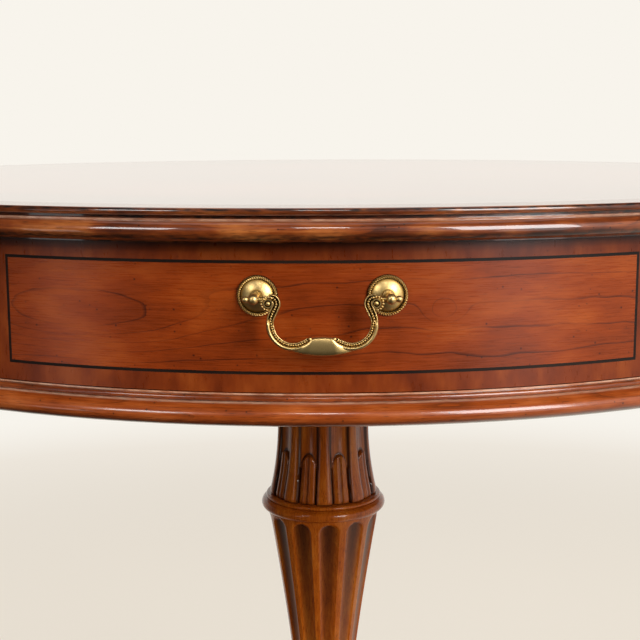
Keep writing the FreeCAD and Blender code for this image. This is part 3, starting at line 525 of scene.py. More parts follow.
# %% [markdown]
# ## Mouldings with glaze and painted light
# The edge mouldings are turned from solid mahogany with the grain round the rim. Their grooves and the edge of
# the nosing are darkened, partly a wiped glaze and partly painted shade, the undersides of the rounds carry
# painted shade, and the sharp corners are painted pale as painted highlights with some wear. All follow the
# height on the profile, so a ramp over the height carries them: grey leaves the wood as it is, darker values
# darken it and lighter values lighten it.

# %% Turned mahogany
PLAIN = "#808080"
PLAIN_BAND = (0.214, 0.216)  # plain grey in linear light, a little to either side
PATCH_SIZE = 1.8 * MM


def moulding_wood(name, node, tones, streak, stops, seed, coat):
    """Turned mahogany with glaze, painted shade and painted highlights that follow the height on the moulding,
    from its underside to its top.
    """
    material, tree, shader = new_material(name)
    colour, streaks, pores = wood(tree, "round", tones, seed, streak, cloud=15 * MM, rings=0.5, flecks=0.9)
    low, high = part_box(node)
    place = add_node(tree, "TexCoord").outputs["Object"]
    level = ramp(tree, add_node(tree, "SeparateXYZ", {"Vector": place}).outputs["Z"], low.z, high.z)
    tone = add_node(tree, "ValToRGB", {"Fac": level}, stops=stops).outputs["Color"]
    patchy = ramp(tree, grain_noise(tree, "round", 4, PATCH_SIZE, seed + 5), 0.36, 0.62, 0.4, 1.15)
    # Darker tones paint glaze and shade, lighter ones paint highlights and wear.
    for plain, full, painted_light_and_stain in ((PLAIN_BAND[0], 0.0, "#1E0D06"), (PLAIN_BAND[1], 1.0, "#DDB496")):
        share = {"Value": ramp(tree, tone, plain, full), "Value_001": patchy}
        share = add_node(tree, "Math", share, operation="MULTIPLY")
        colour = mix(tree, share, colour, paint(painted_light_and_stain))
    polish(tree, shader, colour, streaks, pores, gloss=(0.28, 0.4))
    shader.inputs["Specular IOR Level"].default_value = 0.25
    shader.inputs["Coat Weight"].default_value = 1.0
    shader.inputs["Coat Roughness"].default_value = coat
    return material


print("plain grey", PLAIN, "is", round(paint(PLAIN)[0], 3), "in linear light")

# %% [markdown]
# The upper moulding is darker, with fine bands of glaze and painted shade, painted highlights on its small
# edges and a glossy coat. The lower one is paler and duller, with painted highlights and some wear on both
# edges of its bead.

# %% Mouldings
TOP_TONES = ("#4A1C06", "#80390F", "#B0642C", "#2A1005")
LOWER_TONES = ("#78300B", "#9A4513", "#B8602A", "#2A1005")
# Dark stops: glaze with painted shade in the quirk, painted shade under the torus, and a painted dark
# reflection with glaze on the nosing. Pale stops: painted highlights on the small edges, with some wear.
TOP_GLAZE_AND_PAINTED_LIGHT = [
    (0.0, "#202020"), (0.05, "#262626"), (0.2, "#3C3C3C"), (0.36, PLAIN), (0.6, PLAIN), (0.64, "#C0C0C0"),
    (0.685, "#C0C0C0"), (0.695, "#303030"), (0.775, "#303030"), (0.785, "#B0B0B0"), (0.81, "#B0B0B0"),
    (0.83, "#606060"), (0.9, "#505050"), (0.94, "#181818"), (0.975, "#181818"), (0.992, PLAIN),
]
# Dark stops: painted shade under the torus, and glaze with painted shade on the bead. Pale stops: painted
# highlights on the edges of the bead, with some wear.
LOWER_GLAZE_AND_PAINTED_LIGHT = [
    (0.0, "#303030"), (0.1, "#484848"), (0.26, PLAIN), (0.715, PLAIN), (0.73, "#E0E0E0"), (0.75, "#E0E0E0"),
    (0.765, "#404040"), (0.79, "#686868"), (0.92, "#686868"), (0.935, "#404040"), (0.95, "#E0E0E0"),
    (0.985, "#E0E0E0"), (1.0, "#606060"),
]
top_moulding = moulding_wood(
    "turned_mahogany_top_edge", "top_edge_moulding", TOP_TONES, 1.7 * MM, TOP_GLAZE_AND_PAINTED_LIGHT, 17.0, coat=0.06
)
lower_moulding = moulding_wood(
    "turned_mahogany_lower_edge", "lower_moulding", LOWER_TONES, 1.0 * MM, LOWER_GLAZE_AND_PAINTED_LIGHT, 19.0, coat=0.15
)
print(top_moulding.name, lower_moulding.name)

# %% [markdown]
# ## Carved mahogany
# The column and legs are carved, then stained and polished by hand. The cuts are painted dark, as painted
# shade with some stain pooled in them, and duller, while the cloth rubs the high parts to a shine. Each carved
# mesh below stores how deep every point lies in an attribute named hollow, and the material reads it.

# %% Carved mahogany
CARVED_TONES = ("#85390B", "#B45711", "#D07725", "#2C1005")
CARVED_GLOSS = (0.18, 0.26)
HOLLOW_DULLING = 0.4

carved, tree, shader = new_material("carved_mahogany_stained")
colour, streaks, pores = wood(tree, "upright", CARVED_TONES, 23.0, streak=1.6 * MM, rings=0.2, flecks=0.4)
hollow = add_node(tree, "Attribute", attribute_name="hollow").outputs["Fac"]
# Painted shade in the cuts, with some stain: darker where a point is hollow.
colour = mix(tree, hollow, colour, paint("#220B03"))
polish(tree, shader, colour, streaks, pores, gloss=CARVED_GLOSS)
dulled = ramp(tree, streaks, 0.3, 0.7, *CARVED_GLOSS)
dulled = {"Value": hollow, "Value_001": HOLLOW_DULLING, "Value_002": dulled}
dulled = add_node(tree, "Math", dulled, operation="MULTIPLY_ADD").outputs["Value"]
tree.links.new(dulled, shader.inputs["Roughness"])
shader.inputs["Specular IOR Level"].default_value = 0.12
shader.inputs["Coat Weight"].default_value = 0.5
shader.inputs["Coat Roughness"].default_value = 0.1
print(carved.name)

# %% [markdown]
# ## Ebonised stringing, secondary woods and small metal
# The string inlay is dyed black veneer, level with its neighbours, so only its colour and a little streak
# tell it apart. Inside, the case is plain brown hardwood and the drawer boxes are pale poplar, left with a
# thin sealer. Screws and nuts are zinc plated, which shows fine spangles, and the glides are moulded nylon.

# %% Plain finishes
def sealed_board(name, tones, seed):
    """Plain wood under a thin sealer."""
    material, tree, shader = new_material(name)
    polish(tree, shader, *wood(tree, "straight", tones, seed, flecks=0.1), gloss=(0.45, 0.6))
    return material


def speckled(name, spot, tones, roughness, metallic):
    """A metal or plastic that is a little uneven in tone."""
    material, tree, shader = new_material(name)
    grain = add_node(tree, "TexNoise", {"Scale": 1 / spot, "Detail": 2.0})
    tone = add_node(tree, "ValToRGB", {"Fac": grain}, stops=[(0.3, tones[0]), (0.7, tones[1])])
    tree.links.new(tone.outputs["Color"], shader.inputs["Base Color"])
    shader.inputs["Metallic"].default_value = metallic
    shader.inputs["Roughness"].default_value = roughness
    return material


stringing, tree, shader = new_material("dyed_black_string_inlay")
polish(tree, shader, *wood(tree, "round", STRING_TONES, 31.0, rings=0.1, flecks=0.2), gloss=(0.36, 0.48))
shader.inputs["Specular IOR Level"].default_value = 0.15
case_wood = sealed_board("sealed_brown_hardwood", ("#5A3118", "#774526", "#8F5934", "#3A1F0F"), 37.0)
drawer_wood = sealed_board("sealed_poplar_board", ("#A07C4F", "#BC9765", "#CFAE7E", "#7A5A35"), 41.0)
zinc = speckled("zinc_plated_steel", 0.5 * MM, ("#8E9294", "#B9BDBF"), 0.34, 1.0)
nylon = speckled("moulded_nylon", 1.2 * MM, ("#3A332C", "#4A4239"), 0.5, 0.0)
print("plain finishes", stringing.name, case_wood.name, drawer_wood.name, zinc.name, nylon.name)

# %% [markdown]
# ## Antique brass
# The pulls are cast brass, darkened with age and rubbed bright where hands touch them. Colour runs from a
# warm gold on the high parts to brown tarnish in the hollows. Tarnish is also duller than bare metal.

# %% Antique brass
TARNISH = [(0.0, "#E8CA8C"), (0.35, "#C49E5A"), (0.75, "#6A491C"), (1.0, "#2A1B09")]
TARNISH_CLOUD = 5 * MM
CASTING_GRAIN = 0.7 * MM

brass, tree, shader = new_material("cast_brass_aged")
cloud = {"Scale": 1 / TARNISH_CLOUD, "Detail": 5.0, "Roughness": 0.65}
cloud = add_node(tree, "TexNoise", cloud).outputs["Fac"]
hollow = add_node(tree, "Attribute", attribute_name="hollow").outputs["Fac"]
clouded = ramp(tree, cloud, 0.3, 0.75, -0.1, 0.5)
aged = add_node(tree, "Math", {"Value": clouded, "Value_001": hollow}, operation="ADD", use_clamp=True)
tone = add_node(tree, "ValToRGB", {"Fac": aged}, stops=TARNISH)
tree.links.new(tone.outputs["Color"], shader.inputs["Base Color"])
shader.inputs["Metallic"].default_value = 1.0
tree.links.new(ramp(tree, aged, 0.0, 1.0, 0.36, 0.55), shader.inputs["Roughness"])
casting = add_node(tree, "TexNoise", {"Scale": 1 / CASTING_GRAIN, "Detail": 2.0}).outputs["Fac"]
relief = add_node(tree, "Bump", {"Strength": 0.15, "Distance": 0.06 * MM, "Height": casting})
tree.links.new(relief.outputs["Normal"], shader.inputs["Normal"])
print(brass.name)

# %% [markdown]
# ## Finishes on the CAD pieces
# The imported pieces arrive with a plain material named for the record's slot. That name picks the finish, and
# the three rings of the top, whose grain or polish differs, have lines of their own.

# %% Dress the CAD nodes
FINISHES = {
    "mahogany_top_veneer": top_veneer,
    "mahogany_face_veneer": face_veneer,
    "mahogany_crossband": crossband,
    "ebony_stringing": stringing,
    "mahogany_moulding": lower_moulding,
    "mahogany_carved": carved,
    "case_core_wood": case_wood,
    "drawer_box_wood": drawer_wood,
    "antique_brass": brass,
    "zinc_steel": zinc,
    "nylon": nylon,
}
OWN_FINISHES = {
    "top_crossbanding": top_band,
    "top_edge_moulding": top_moulding,
    "top_stringing": top_string,
}

for name, node in frame["nodes"].items():
    slot = node.data.materials[0].name.split(".")[0]
    node.data.materials[0] = OWN_FINISHES.get(name, FINISHES[slot])
print("dressed", len(frame["nodes"]), "nodes")

# %% [markdown]
# ## Shells
# Carving and castings are easiest to describe as rows of points: a ring of points, a little different from
# the last ring, and a skin stretched between them. Each point also keeps how hollow it is, from 0 on a high
# part to 1 in a cut, for the painted shade and stain of the carving and the tarnish of the brass. Shells are
# written in millimetres.

# %% Shells
def skin(rows, hollow=0.0):
    """A closed shell through rings of points: its points, faces and hollows."""
    rows = np.asarray(rows, dtype=float)
    index = np.arange(rows.shape[0] * rows.shape[1]).reshape(rows.shape[:2])
    after = np.roll(index, -1, axis=1)
    faces = np.stack([index[:-1], after[:-1], after[1:], index[1:]], axis=-1).reshape(-1, 4).tolist()
    faces += [index[0][::-1].tolist(), index[-1].tolist()]
    return rows.reshape(-1, 3), faces, np.broadcast_to(hollow, rows.shape[:2]).reshape(-1)


def lathe(profile, sides, hollow=0.0):
    """A shell turned about Z from (radius, height) points."""
    profile = np.asarray(profile, dtype=float)
    angles = np.linspace(0, 2 * np.pi, sides, endpoint=False)
    ring = np.stack([np.cos(angles), np.sin(angles), np.zeros(sides)], axis=-1)
    rows = profile[:, :1, None] * ring + profile[:, 1:, None] * np.array([0, 0, 1])
    return skin(rows, np.asarray(hollow).reshape(-1, 1) if np.ndim(hollow) else hollow)


def moved(shell, matrix):
    points, faces, hollow = shell
    grid = np.array(matrix)
    return points @ grid[:3, :3].T + grid[:3, 3], faces, hollow


print("a lathe of 8 sides and 2 rings has", len(lathe([(1, 0), (1, 1)], 8)[1]), "faces")

# %% [markdown]
# ## Pieces
# A piece is a mesh of one or more shells. It rides on a body of the frame, takes the finish it is given and
# stands in for the plain CAD node. Edges sharper than 50 degrees stay crisp, and the rest is shaded smooth.

# %% Pieces
CRISP_EDGE = math.radians(50)


def add_piece(name, shells, body, material, slot, *nodes):
    """One mesh from shells in millimetres, in the frame's place, in the place of CAD nodes."""
    points, faces, hollow = [], [], []
    for shell_points, shell_faces, shell_hollow in shells:
        start = len(points)
        points.extend((shell_points * MM).tolist())
        faces.extend([[start + corner for corner in face] for face in shell_faces])
        hollow.extend(shell_hollow.tolist())
    mesh = bpy.data.meshes.new(name)
    mesh.from_pydata(points, [], faces)
    mesh.attributes.new("hollow", "FLOAT", "POINT").data.foreach_set("value", hollow)
    tidy = bmesh.new()
    tidy.from_mesh(mesh)
    bmesh.ops.recalc_face_normals(tidy, faces=tidy.faces)
    tidy.to_mesh(mesh)
    tidy.free()
    mesh.shade_smooth()
    mesh.set_sharp_from_angle(angle=CRISP_EDGE)
    mesh.materials.append(material)
    piece = bpy.data.objects.new(name, mesh)
    bpy.context.scene.collection.objects.link(piece)
    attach(piece, body)
    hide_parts(*nodes)
    print(name, len(points), "points")
    return piece


print("edges stay crisp from", round(math.degrees(CRISP_EDGE)), "degrees")

# %% [markdown]
# ## Rounds
# Turned and carved work is full of half rounds. The first helper says how far a round has fallen at a share
# of its half width, the second eases from 0 to 1, and the third is the outline of a turned ring.

# %% Rounds
HALF_TURN = np.linspace(-np.pi / 2, np.pi / 2, 13)


def half_round(share):
    """Height lost from the middle of a round (0) to its edge (1)."""
    return 1 - np.sqrt(1 - np.clip(share, 0, 1) ** 2)


def smooth(share):
    share = np.clip(share, 0, 1)
    return share * share * (3 - 2 * share)


def round_profile(radius, low, height):
    half = height / 2
    return [(radius - half + half * math.cos(a), low + half + half * math.sin(a)) for a in HALF_TURN]


print("a round has lost", round(float(half_round(0.5)), 3), "of its height halfway to its edge")

# %% [markdown]
# ## The carved shaft
# The column is turned first, then divided into nine and carved. Rounded reeds run its full length. Between
# them are flutes, and in the foot of each flute stands a tongue with a vein down its middle and an arched
# tip. A carving like this is a rule for how far below the turned surface each point lies, so it can be
# written as arithmetic on two arrays, the heights and the angles.

# %% Carving of the shaft
REEDS = 9
REED_PHASE = math.radians(-90 + 1.2)
REED_HALVES = (9.6, 7.8)  # half width of a reed at its foot and further up, in degrees
REED_TAPER = 50.0
REED_DROP = 2.4  # from the crest of a reed to its edge
FLUTE_DROP = 5.2
FLUTE_END = (8.5, 7.0)  # below the capital at the middle of a flute, and how much sooner at its edges
RUN_OUT = 3.0
TONGUE_HALF = math.radians(9.6)
TONGUE_HEIGHT = 47.0
TONGUE_ARCH = 12.0
TONGUE_DROPS = (1.5, 2.8)  # below the turned surface at its crest, and from there to its edge
TONGUE_TIP = 1.8  # height over which the tip rises out of the flute
VEIN = (1.3, 0.17)  # depth, and width as a share of the tongue
FINE_HEIGHT = 60.0
CAPITAL = (58.0, 12.0)  # radius and height of the ring at the top

z_foot, z_top = (corner.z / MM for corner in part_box("pedestal_shaft"))
z_capital = z_top - CAPITAL[1]
fine_rows = np.linspace(z_foot, z_foot + FINE_HEIGHT, 76)
plain_rows = np.linspace(z_foot + FINE_HEIGHT + 1.5, z_capital, 50)
levels = np.concatenate([fine_rows, plain_rows])[:, None]
angles = np.linspace(0, 2 * np.pi, REEDS * 40, endpoint=False)[None, :]
pitch = 2 * np.pi / REEDS
across = np.abs((angles - REED_PHASE + pitch / 2) % pitch - pitch / 2)
reed_half = np.radians(np.interp(levels, (z_foot, z_foot + REED_TAPER), REED_HALVES))
reed_drop = REED_DROP * half_round(across / reed_half)
in_flute = np.clip((across - reed_half) / (pitch / 2 - reed_half), 0, 1)
flute_drop = REED_DROP + (FLUTE_DROP - REED_DROP) * np.sin(np.pi / 2 * in_flute) ** 0.7
tongue = (pitch / 2 - across) / TONGUE_HALF
vein_line = np.exp(-((tongue / VEIN[1]) ** 2))
tongue_drop = TONGUE_DROPS[0] + TONGUE_DROPS[1] * half_round(tongue) + VEIN[0] * vein_line
tongue_drop = np.where(tongue < 1, tongue_drop, FLUTE_DROP)
tip = z_foot + TONGUE_HEIGHT - TONGUE_ARCH * half_round(tongue)
flute_drop = flute_drop + (tongue_drop - flute_drop) * smooth((tip - levels) / TONGUE_TIP)
run_out = smooth((z_capital - FLUTE_END[0] - FLUTE_END[1] * (1 - in_flute) - levels) / RUN_OUT)
drop = np.where(across < reed_half, reed_drop, flute_drop) * run_out
print("deepest cut in the shaft", round(float(drop.max()), 1), "mm")

# %% [markdown]
# The carving is taken off the flared column, and turns in at its foot. Painted shade, with some stain, lies
# along the edges of the reeds, over the arched tips, down the veins and round the foot. A turned ring closes
# the top.

# %% Carved shaft
WAIST_RADIUS = 44.7
FOOT_RADIUS = 53.7
FLARE = 72.6
FOOT_ROUND = 2.2
FOOT_ROUND_HEIGHT = 7.0
CAPITAL_INNER = 40.0

drop = drop + FOOT_ROUND * half_round(1 - (levels - z_foot) / FOOT_ROUND_HEIGHT)
flare = np.clip(1 - (levels - z_foot) / FLARE, 0, 1) ** 2
radius = WAIST_RADIUS + (FOOT_RADIUS - WAIST_RADIUS) * flare - drop
shaft_rows = np.stack([radius * np.cos(angles), radius * np.sin(angles), levels + 0 * angles], axis=-1)
# Painted shade, with some stain: dark lines along the reed edges, over the tongue tips and round the foot.
edge_line = np.exp(-(((across - reed_half) / np.radians(2.2)) ** 2))
arch_line = np.exp(-(((levels - tip - 0.8) / 1.8) ** 2)) * (tongue < 1.05)
foot_line = np.exp(-(((levels - z_foot) / 1.6) ** 2))
painted_light_and_stain = np.maximum(0.95 * edge_line, 0.9 * np.maximum(arch_line, foot_line))
painted_light_and_stain = np.maximum(painted_light_and_stain, 0.6 * vein_line * (levels < tip)) * run_out
ring = round_profile(CAPITAL[0], z_capital, CAPITAL[1])
shaft_shells = [
    skin(shaft_rows, np.maximum(painted_light_and_stain, 0.25 * in_flute)),
    lathe([(CAPITAL_INNER, z_capital)] + ring + [(CAPITAL_INNER, z_top)], 128),
]
add_piece("carved_shaft", shaft_shells, "desk", carved, "mahogany_carved", "pedestal_shaft")

# %% [markdown]
# ## The collar and the vase
# Under the shaft sit a thin bead and a bold half-round ring. Below them the column narrows again, carved
# with twelve round-headed flutes that leave narrow flat lands between. The rings are turned, so their rows
# are plain circles.

# %% Outline of the vase
BEAD = (56.4, 3.8)  # radius and height
RING = (60.8, 11.4)
VASE_TOP = 54.8
VASE_NECK = 31.0
VASE_CURVE = 0.17
FOOT_RING = (46.0, 18.0)
FOOT_LIST = (40.0, 6.0)
VASE_BORE = 20.0

vase_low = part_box("pedestal_vase")[0].z / MM
z_ring = z_foot - BEAD[1] - RING[1]
z_list = vase_low + FOOT_RING[1]
z_neck = z_list + FOOT_LIST[1]
cone = np.linspace(0, 1, 110)
cone_radius = VASE_NECK + (VASE_TOP - VASE_NECK) * ((1 - VASE_CURVE) * cone + VASE_CURVE * cone**2)
cone_level = z_neck + (z_ring - z_neck) * cone
vase_profile = np.concatenate(
    [
        [(VASE_BORE, vase_low)],
        round_profile(FOOT_RING[0], vase_low, FOOT_RING[1]),
        [(FOOT_LIST[0], z_list), (FOOT_LIST[0], z_neck)],
        np.stack([cone_radius, cone_level], axis=-1),
        round_profile(RING[0], z_ring, RING[1]),
        round_profile(BEAD[0], z_ring + RING[1], BEAD[1]),
        [(VASE_BORE, z_foot)],
    ]
)
print("vase", round(z_foot - vase_low, 1), "mm high")

# %% [markdown]
# The flutes are again a drop below the turned surface. They are round at both ends, and get shallower
# where the vase is narrower.

# %% Collar and vase
LAPPETS = 12
LAPPET_PHASE = math.radians(-90 + 6)
LAPPET_HALF = math.radians(10.8)
LAPPET_DROP = 3.4
LAPPET_ARCH = 10.0
LAPPET_MARGINS = (4.0, 3.0)  # to the neck below and to the ring above
LAPPET_EASE = 1.5

angles = np.linspace(0, 2 * np.pi, LAPPETS * 28, endpoint=False)[None, :]
base, levels = vase_profile[:, :1], vase_profile[:, 1:]
pitch = 2 * np.pi / LAPPETS
share = np.abs((angles - LAPPET_PHASE + pitch / 2) % pitch - pitch / 2) / LAPPET_HALF
arch = LAPPET_ARCH * half_round(share)
under_head = smooth((z_ring - LAPPET_MARGINS[1] - arch - levels) / LAPPET_EASE)
over_foot = smooth((levels - z_neck - LAPPET_MARGINS[0] - arch) / LAPPET_EASE)
drop = under_head * over_foot * LAPPET_DROP * base / VASE_TOP * (1 - half_round(share))
radius = base - drop
vase_rows = np.stack([radius * np.cos(angles), radius * np.sin(angles), levels + 0 * angles], axis=-1)
# Painted shade, with some stain, darker as the flutes get deeper.
vase = skin(vase_rows, np.clip((drop - 0.6) / 2.6, 0, 1) * 0.85)
add_piece("carved_vase", [vase], "desk", carved, "mahogany_carved", "pedestal_vase")

# %% [markdown]
# ## The hub
# The column stands on a round hub with a turned ring above and below. It is turned from one outline, like
# the rings of the collar.

# %% Hub
HUB_RING = (57.0, 12.0)
HUB_WAIST = 53.0
HUB_STEP = 1.5
HUB_BORE = 12.0

hub_low, hub_high = (corner.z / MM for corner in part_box("pedestal_hub"))
waist_ends = (hub_low + HUB_RING[1] + HUB_STEP, hub_high - HUB_RING[1] - HUB_STEP)
hub_profile = (
    [(HUB_BORE, hub_low)]
    + round_profile(HUB_RING[0], hub_low, HUB_RING[1])
    + [(HUB_WAIST, level) for level in waist_ends]
    + round_profile(HUB_RING[0], hub_high - HUB_RING[1], HUB_RING[1])
    + [(HUB_BORE, hub_high)]
)
add_piece("turned_hub", [lathe(hub_profile, 128)], "desk", carved, "mahogany_carved", "pedestal_hub")

# %% [markdown]
# ## The legs
# Four sabre legs sweep out of the hub. Each is one section carried from the hub to the toe: flat below,
# eased at its lower corners, and worked into three reeds on top. The upper and lower edges are arcs, given
# as in a drawing by their ends and their sag.

# %% Legs
LEG_HALF_WIDTH = 23.0
LEG_TOP = ((56.0, 256.0), (392.0, 44.5), 58.0)  # start, end and sag of the upper edge
LEG_BOTTOM = ((56.0, 165.0), (392.0, 7.5), 40.0)
LEG_ROOT = 45.0  # the legs start this far from the axis, inside the hub
LEG_END = 0.89  # and stop inside the toe caps, at this share of the sweep
LEG_CORNER = 4.0
LEG_REEDS = 3
REED_DEPTH = 4.5
LEG_ANGLES = [math.radians(45 + 90 * index) for index in range(4)]


def swept_edge(start, end, sag, shares):
    """Points along an arc that sags towards the floor and the hub."""
    start, end = np.array(start), np.array(end)
    chord = end - start
    length = np.linalg.norm(chord)
    down = np.array([chord[1], -chord[0]]) / length
    radius = (length**2 / 4 + sag**2) / (2 * sag)
    half_turn = math.asin(length / 2 / radius)
    turns = (2 * shares - 1) * half_turn
    centre = (start + end) / 2 - down * (radius - sag)
    return centre + radius * (np.outer(np.sin(turns), chord / length) + np.outer(np.cos(turns), down))


shares = np.linspace(0, LEG_END, 60)
upper_edge = np.concatenate([[(LEG_ROOT, LEG_TOP[0][1])], swept_edge(*LEG_TOP, shares)])
under_edge = np.concatenate([[(LEG_ROOT, LEG_BOTTOM[0][1])], swept_edge(*LEG_BOTTOM, shares)])
tall = np.linalg.norm(upper_edge - under_edge, axis=1)[:, None]
rise = (upper_edge - under_edge) / tall
top_across = np.linspace(LEG_HALF_WIDTH, -LEG_HALF_WIDTH, LEG_REEDS * 16 + 1)
reed_share = np.abs(((top_across / LEG_HALF_WIDTH + 1) / 2 * LEG_REEDS) % 1 - 0.5) * 2
reed_share[[0, -1]] = 1
corner_across = np.array([-LEG_HALF_WIDTH, LEG_CORNER - LEG_HALF_WIDTH])
section_across = np.concatenate([top_across, corner_across, -corner_across[::-1]])
above_under = np.array([LEG_CORNER, 0, 0, LEG_CORNER])
lift = np.concatenate([tall - REED_DEPTH * half_round(reed_share), above_under + 0 * tall], axis=1)
leg_x = under_edge[:, :1] + rise[:, :1] * lift
leg_z = under_edge[:, 1:] + rise[:, 1:] * lift
leg_rows = np.stack([leg_x, section_across + 0 * lift, leg_z], axis=-1)
# Painted shade, with some stain, between the reeds.
leg_hollow = np.concatenate([0.8 * half_round(reed_share) ** 1.5, [0.2] * 4])
leg = skin(leg_rows, leg_hollow[None, :])
shells = [moved(leg, Matrix.Rotation(angle, 4, "Z")) for angle in LEG_ANGLES]
add_piece("reeded_legs", shells, "desk", carved, "mahogany_carved", "legs")

# %% [markdown]
# ## Toe caps
# A cast brass cap closes each toe, with a round nose and a bead round its mouth. Its section is a square with
# soft corners, which a power of the sine and cosine gives, and it shrinks towards the nose.

# %% Toe caps
CAP_MOUTH = 336.5
CAP_NOSE = 394.5
CAP_HALF_WIDTH = 25.4
CAP_UNDER = 5.0
CAP_TOPS = (50.8, 47.0)  # at the mouth and at the nose
CAP_SQUARENESS = 0.25
NOSE_LENGTH = 16.0
NOSE_SHRINK = 0.55
MOUTH_BEAD = 1.5

cap_share = np.concatenate([np.linspace(0, 0.16, 9), np.linspace(0.2, 0.7, 6), np.linspace(0.72, 1, 14)])
cap_x = CAP_MOUTH + (CAP_NOSE - CAP_MOUTH) * cap_share
nose_share = np.clip((cap_x - CAP_NOSE + NOSE_LENGTH) / NOSE_LENGTH, 0, 0.995)
shrink = 1 - NOSE_SHRINK * half_round(nose_share)
bead_share = np.abs((cap_x - CAP_MOUTH) - 3 * MOUTH_BEAD) / (3 * MOUTH_BEAD)
swollen = MOUTH_BEAD * (1 - half_round(bead_share))
turn = np.linspace(0, 2 * np.pi, 64, endpoint=False)
square_y, square_z = (np.sign(wave) * np.abs(wave) ** CAP_SQUARENESS for wave in (np.cos(turn), np.sin(turn)))
cap_half = (CAP_TOPS[0] + (CAP_TOPS[1] - CAP_TOPS[0]) * cap_share - CAP_UNDER) / 2
half_width = (CAP_HALF_WIDTH - MOUTH_BEAD + swollen) * shrink
half_tall = (cap_half - (MOUTH_BEAD - swollen) / 2) * shrink
cap_y = np.outer(half_width, square_y)
cap_z = CAP_UNDER + np.outer(half_tall, 1 + square_z)  # the underside stays level where the nose shrinks
cap_rows = np.stack([cap_x[:, None] + 0 * cap_y, cap_y, cap_z], axis=-1)
cap_hollow = np.clip(1 - np.abs((cap_x - CAP_MOUTH) / (6 * MOUTH_BEAD) - 1.15) / 0.2, 0, 0.8)
cap = skin(cap_rows, cap_hollow[:, None])
shells = [moved(cap, Matrix.Rotation(angle, 4, "Z")) for angle in LEG_ANGLES]
add_piece("cast_toe_caps", shells, "desk", brass, "antique_brass", "toe_caps")

# %% [markdown]
# ## Roped rosettes
# Behind each post sits a domed brass disc with a dark groove and a roped rim. The dome is turned from a
# profile. The rope is a thin ring whose section swells and shrinks as it runs round, slanted by mixing the
# two angles, which is how a twisted cord looks.

# %% Shells of a rosette
ROSETTE_RADIUS = 12.2
ROPE_RADIUS = 1.15
ROPE_TURNS = 50
ROPE_SWELL = 0.3
DOME_RADIUS = 9.7
DOME_RISE = 3.2
RIM_LEVEL = 0.7

dome_share = np.linspace(0.002, 1, 16)
dome = [(DOME_RADIUS * s, RIM_LEVEL + 0.2 + DOME_RISE * (1 - s**2.2)) for s in dome_share]
rim = [(DOME_RADIUS + 0.25, RIM_LEVEL), (ROSETTE_RADIUS - 0.2, RIM_LEVEL)]
rim += [(ROSETTE_RADIUS, 0.4), (ROSETTE_RADIUS, 0)]
# Dark round the middle: a painted shadow of the post, with tarnish. Darker towards the rim: tarnish.
dome_post_shadow_and_tarnish = 0.8 * smooth((0.46 - dome_share) / 0.14) + 0.5 * smooth((dome_share - 0.85) / 0.15)
disc = lathe(dome + rim, 72, dome_post_shadow_and_tarnish.tolist() + [1.0, 0.8, 0.8, 0.8])
around = np.linspace(0, 2 * np.pi, ROPE_TURNS * 6, endpoint=False)[:, None]
section = np.linspace(0, 2 * np.pi, 8, endpoint=False)[None, :]
twist = np.cos(ROPE_TURNS * around + 2 * section)
swell = ROPE_RADIUS * (1 - ROPE_SWELL + ROPE_SWELL * twist)
rope_radius = ROSETTE_RADIUS - ROPE_RADIUS + swell * np.cos(section)
rope_level = RIM_LEVEL + 0.5 + swell * np.sin(section)
rope_rows = np.stack([rope_radius * np.cos(around), rope_radius * np.sin(around), rope_level], axis=-1)
rope_hollow = np.clip(-0.1 - 0.8 * twist, 0, 0.7)
rope = skin(np.concatenate([rope_rows, rope_rows[:1]]), np.concatenate([rope_hollow, rope_hollow[:1]]))
rope = (rope[0], rope[1][:-2], rope[2])  # a closed ring needs no end faces
print("rosette", 2 * ROSETTE_RADIUS, "mm across")

# %% [markdown]
# A rosette lies flat against the bowed front, so it leans with the curve. The joint of the pull gives the
# height of the posts. The rosettes of a drawer move with it, and those of the false fronts stay on the desk.

# %% Rosettes
POST_HALF_SPACING = 38.1
FRONT_ANGLES = {f"drawer_{n}": math.radians(120 * (n - 1)) for n in (1, 2, 3)}
FALSE_ANGLES = {f"false_front_{n}": math.radians(120 * (n - 1) + 60) for n in (1, 2, 3)}

pull_joint = next(joint for joint in frame["joints"] if joint["name"] == "drawer_1_bail_swing")
pull_z = pull_joint["pos_m"][2] / MM
pin_line = -pull_joint["pos_m"][1] / MM


def on_front(front, x):
    """Matrix from a disc lying on the XY plane to the bowed front, x to the right of the pull's middle."""
    lean = math.asin(x / (drum_radius / MM))
    stand = Matrix.Rotation(math.pi / 2, 4, "X")
    outward = Matrix.Translation((0, -drum_radius / MM, pull_z))
    return Matrix.Rotation(front + lean, 4, "Z") @ outward @ stand


def rosette_pair(front):
    spots = [on_front(front, x) for x in (-POST_HALF_SPACING, POST_HALF_SPACING)]
    return [moved(shell, spot) for spot in spots for shell in (disc, rope)]


for name, angle in FRONT_ANGLES.items():
    piece_name = f"{name}_roped_rosettes"
    add_piece(piece_name, rosette_pair(angle), name, brass, "antique_brass", f"{name}_rosettes")
shells = [shell for angle in FALSE_ANGLES.values() for shell in rosette_pair(angle)]
add_piece("false_front_roped_rosettes", shells, "desk", brass, "antique_brass", "false_front_rosettes")

# %% [markdown]
# ## Cast bails
# A bail is the swinging part of the pull. Each arm is an S-shaped strap. From a round eye beside the post it
# curls over and falls outward to a waist, as two thin rails with a row of beads between. There the outer
# rail swells into a smooth round, and the strap sweeps round a bow with its beads on the inner side, up to
# a curled tip where the plain oval grip joins the two arms. The strap is one section carried along a
# line of arcs. The line comes first.

# %% Line of the strap
SCROLL = ((29.9, -2.4), 3.7)
BOW = ((16.8, -14.3), 13.2)
STRAP_LEAN = 25.0
BOW_TIP = -138.0
SCROLL_POINTS = 18


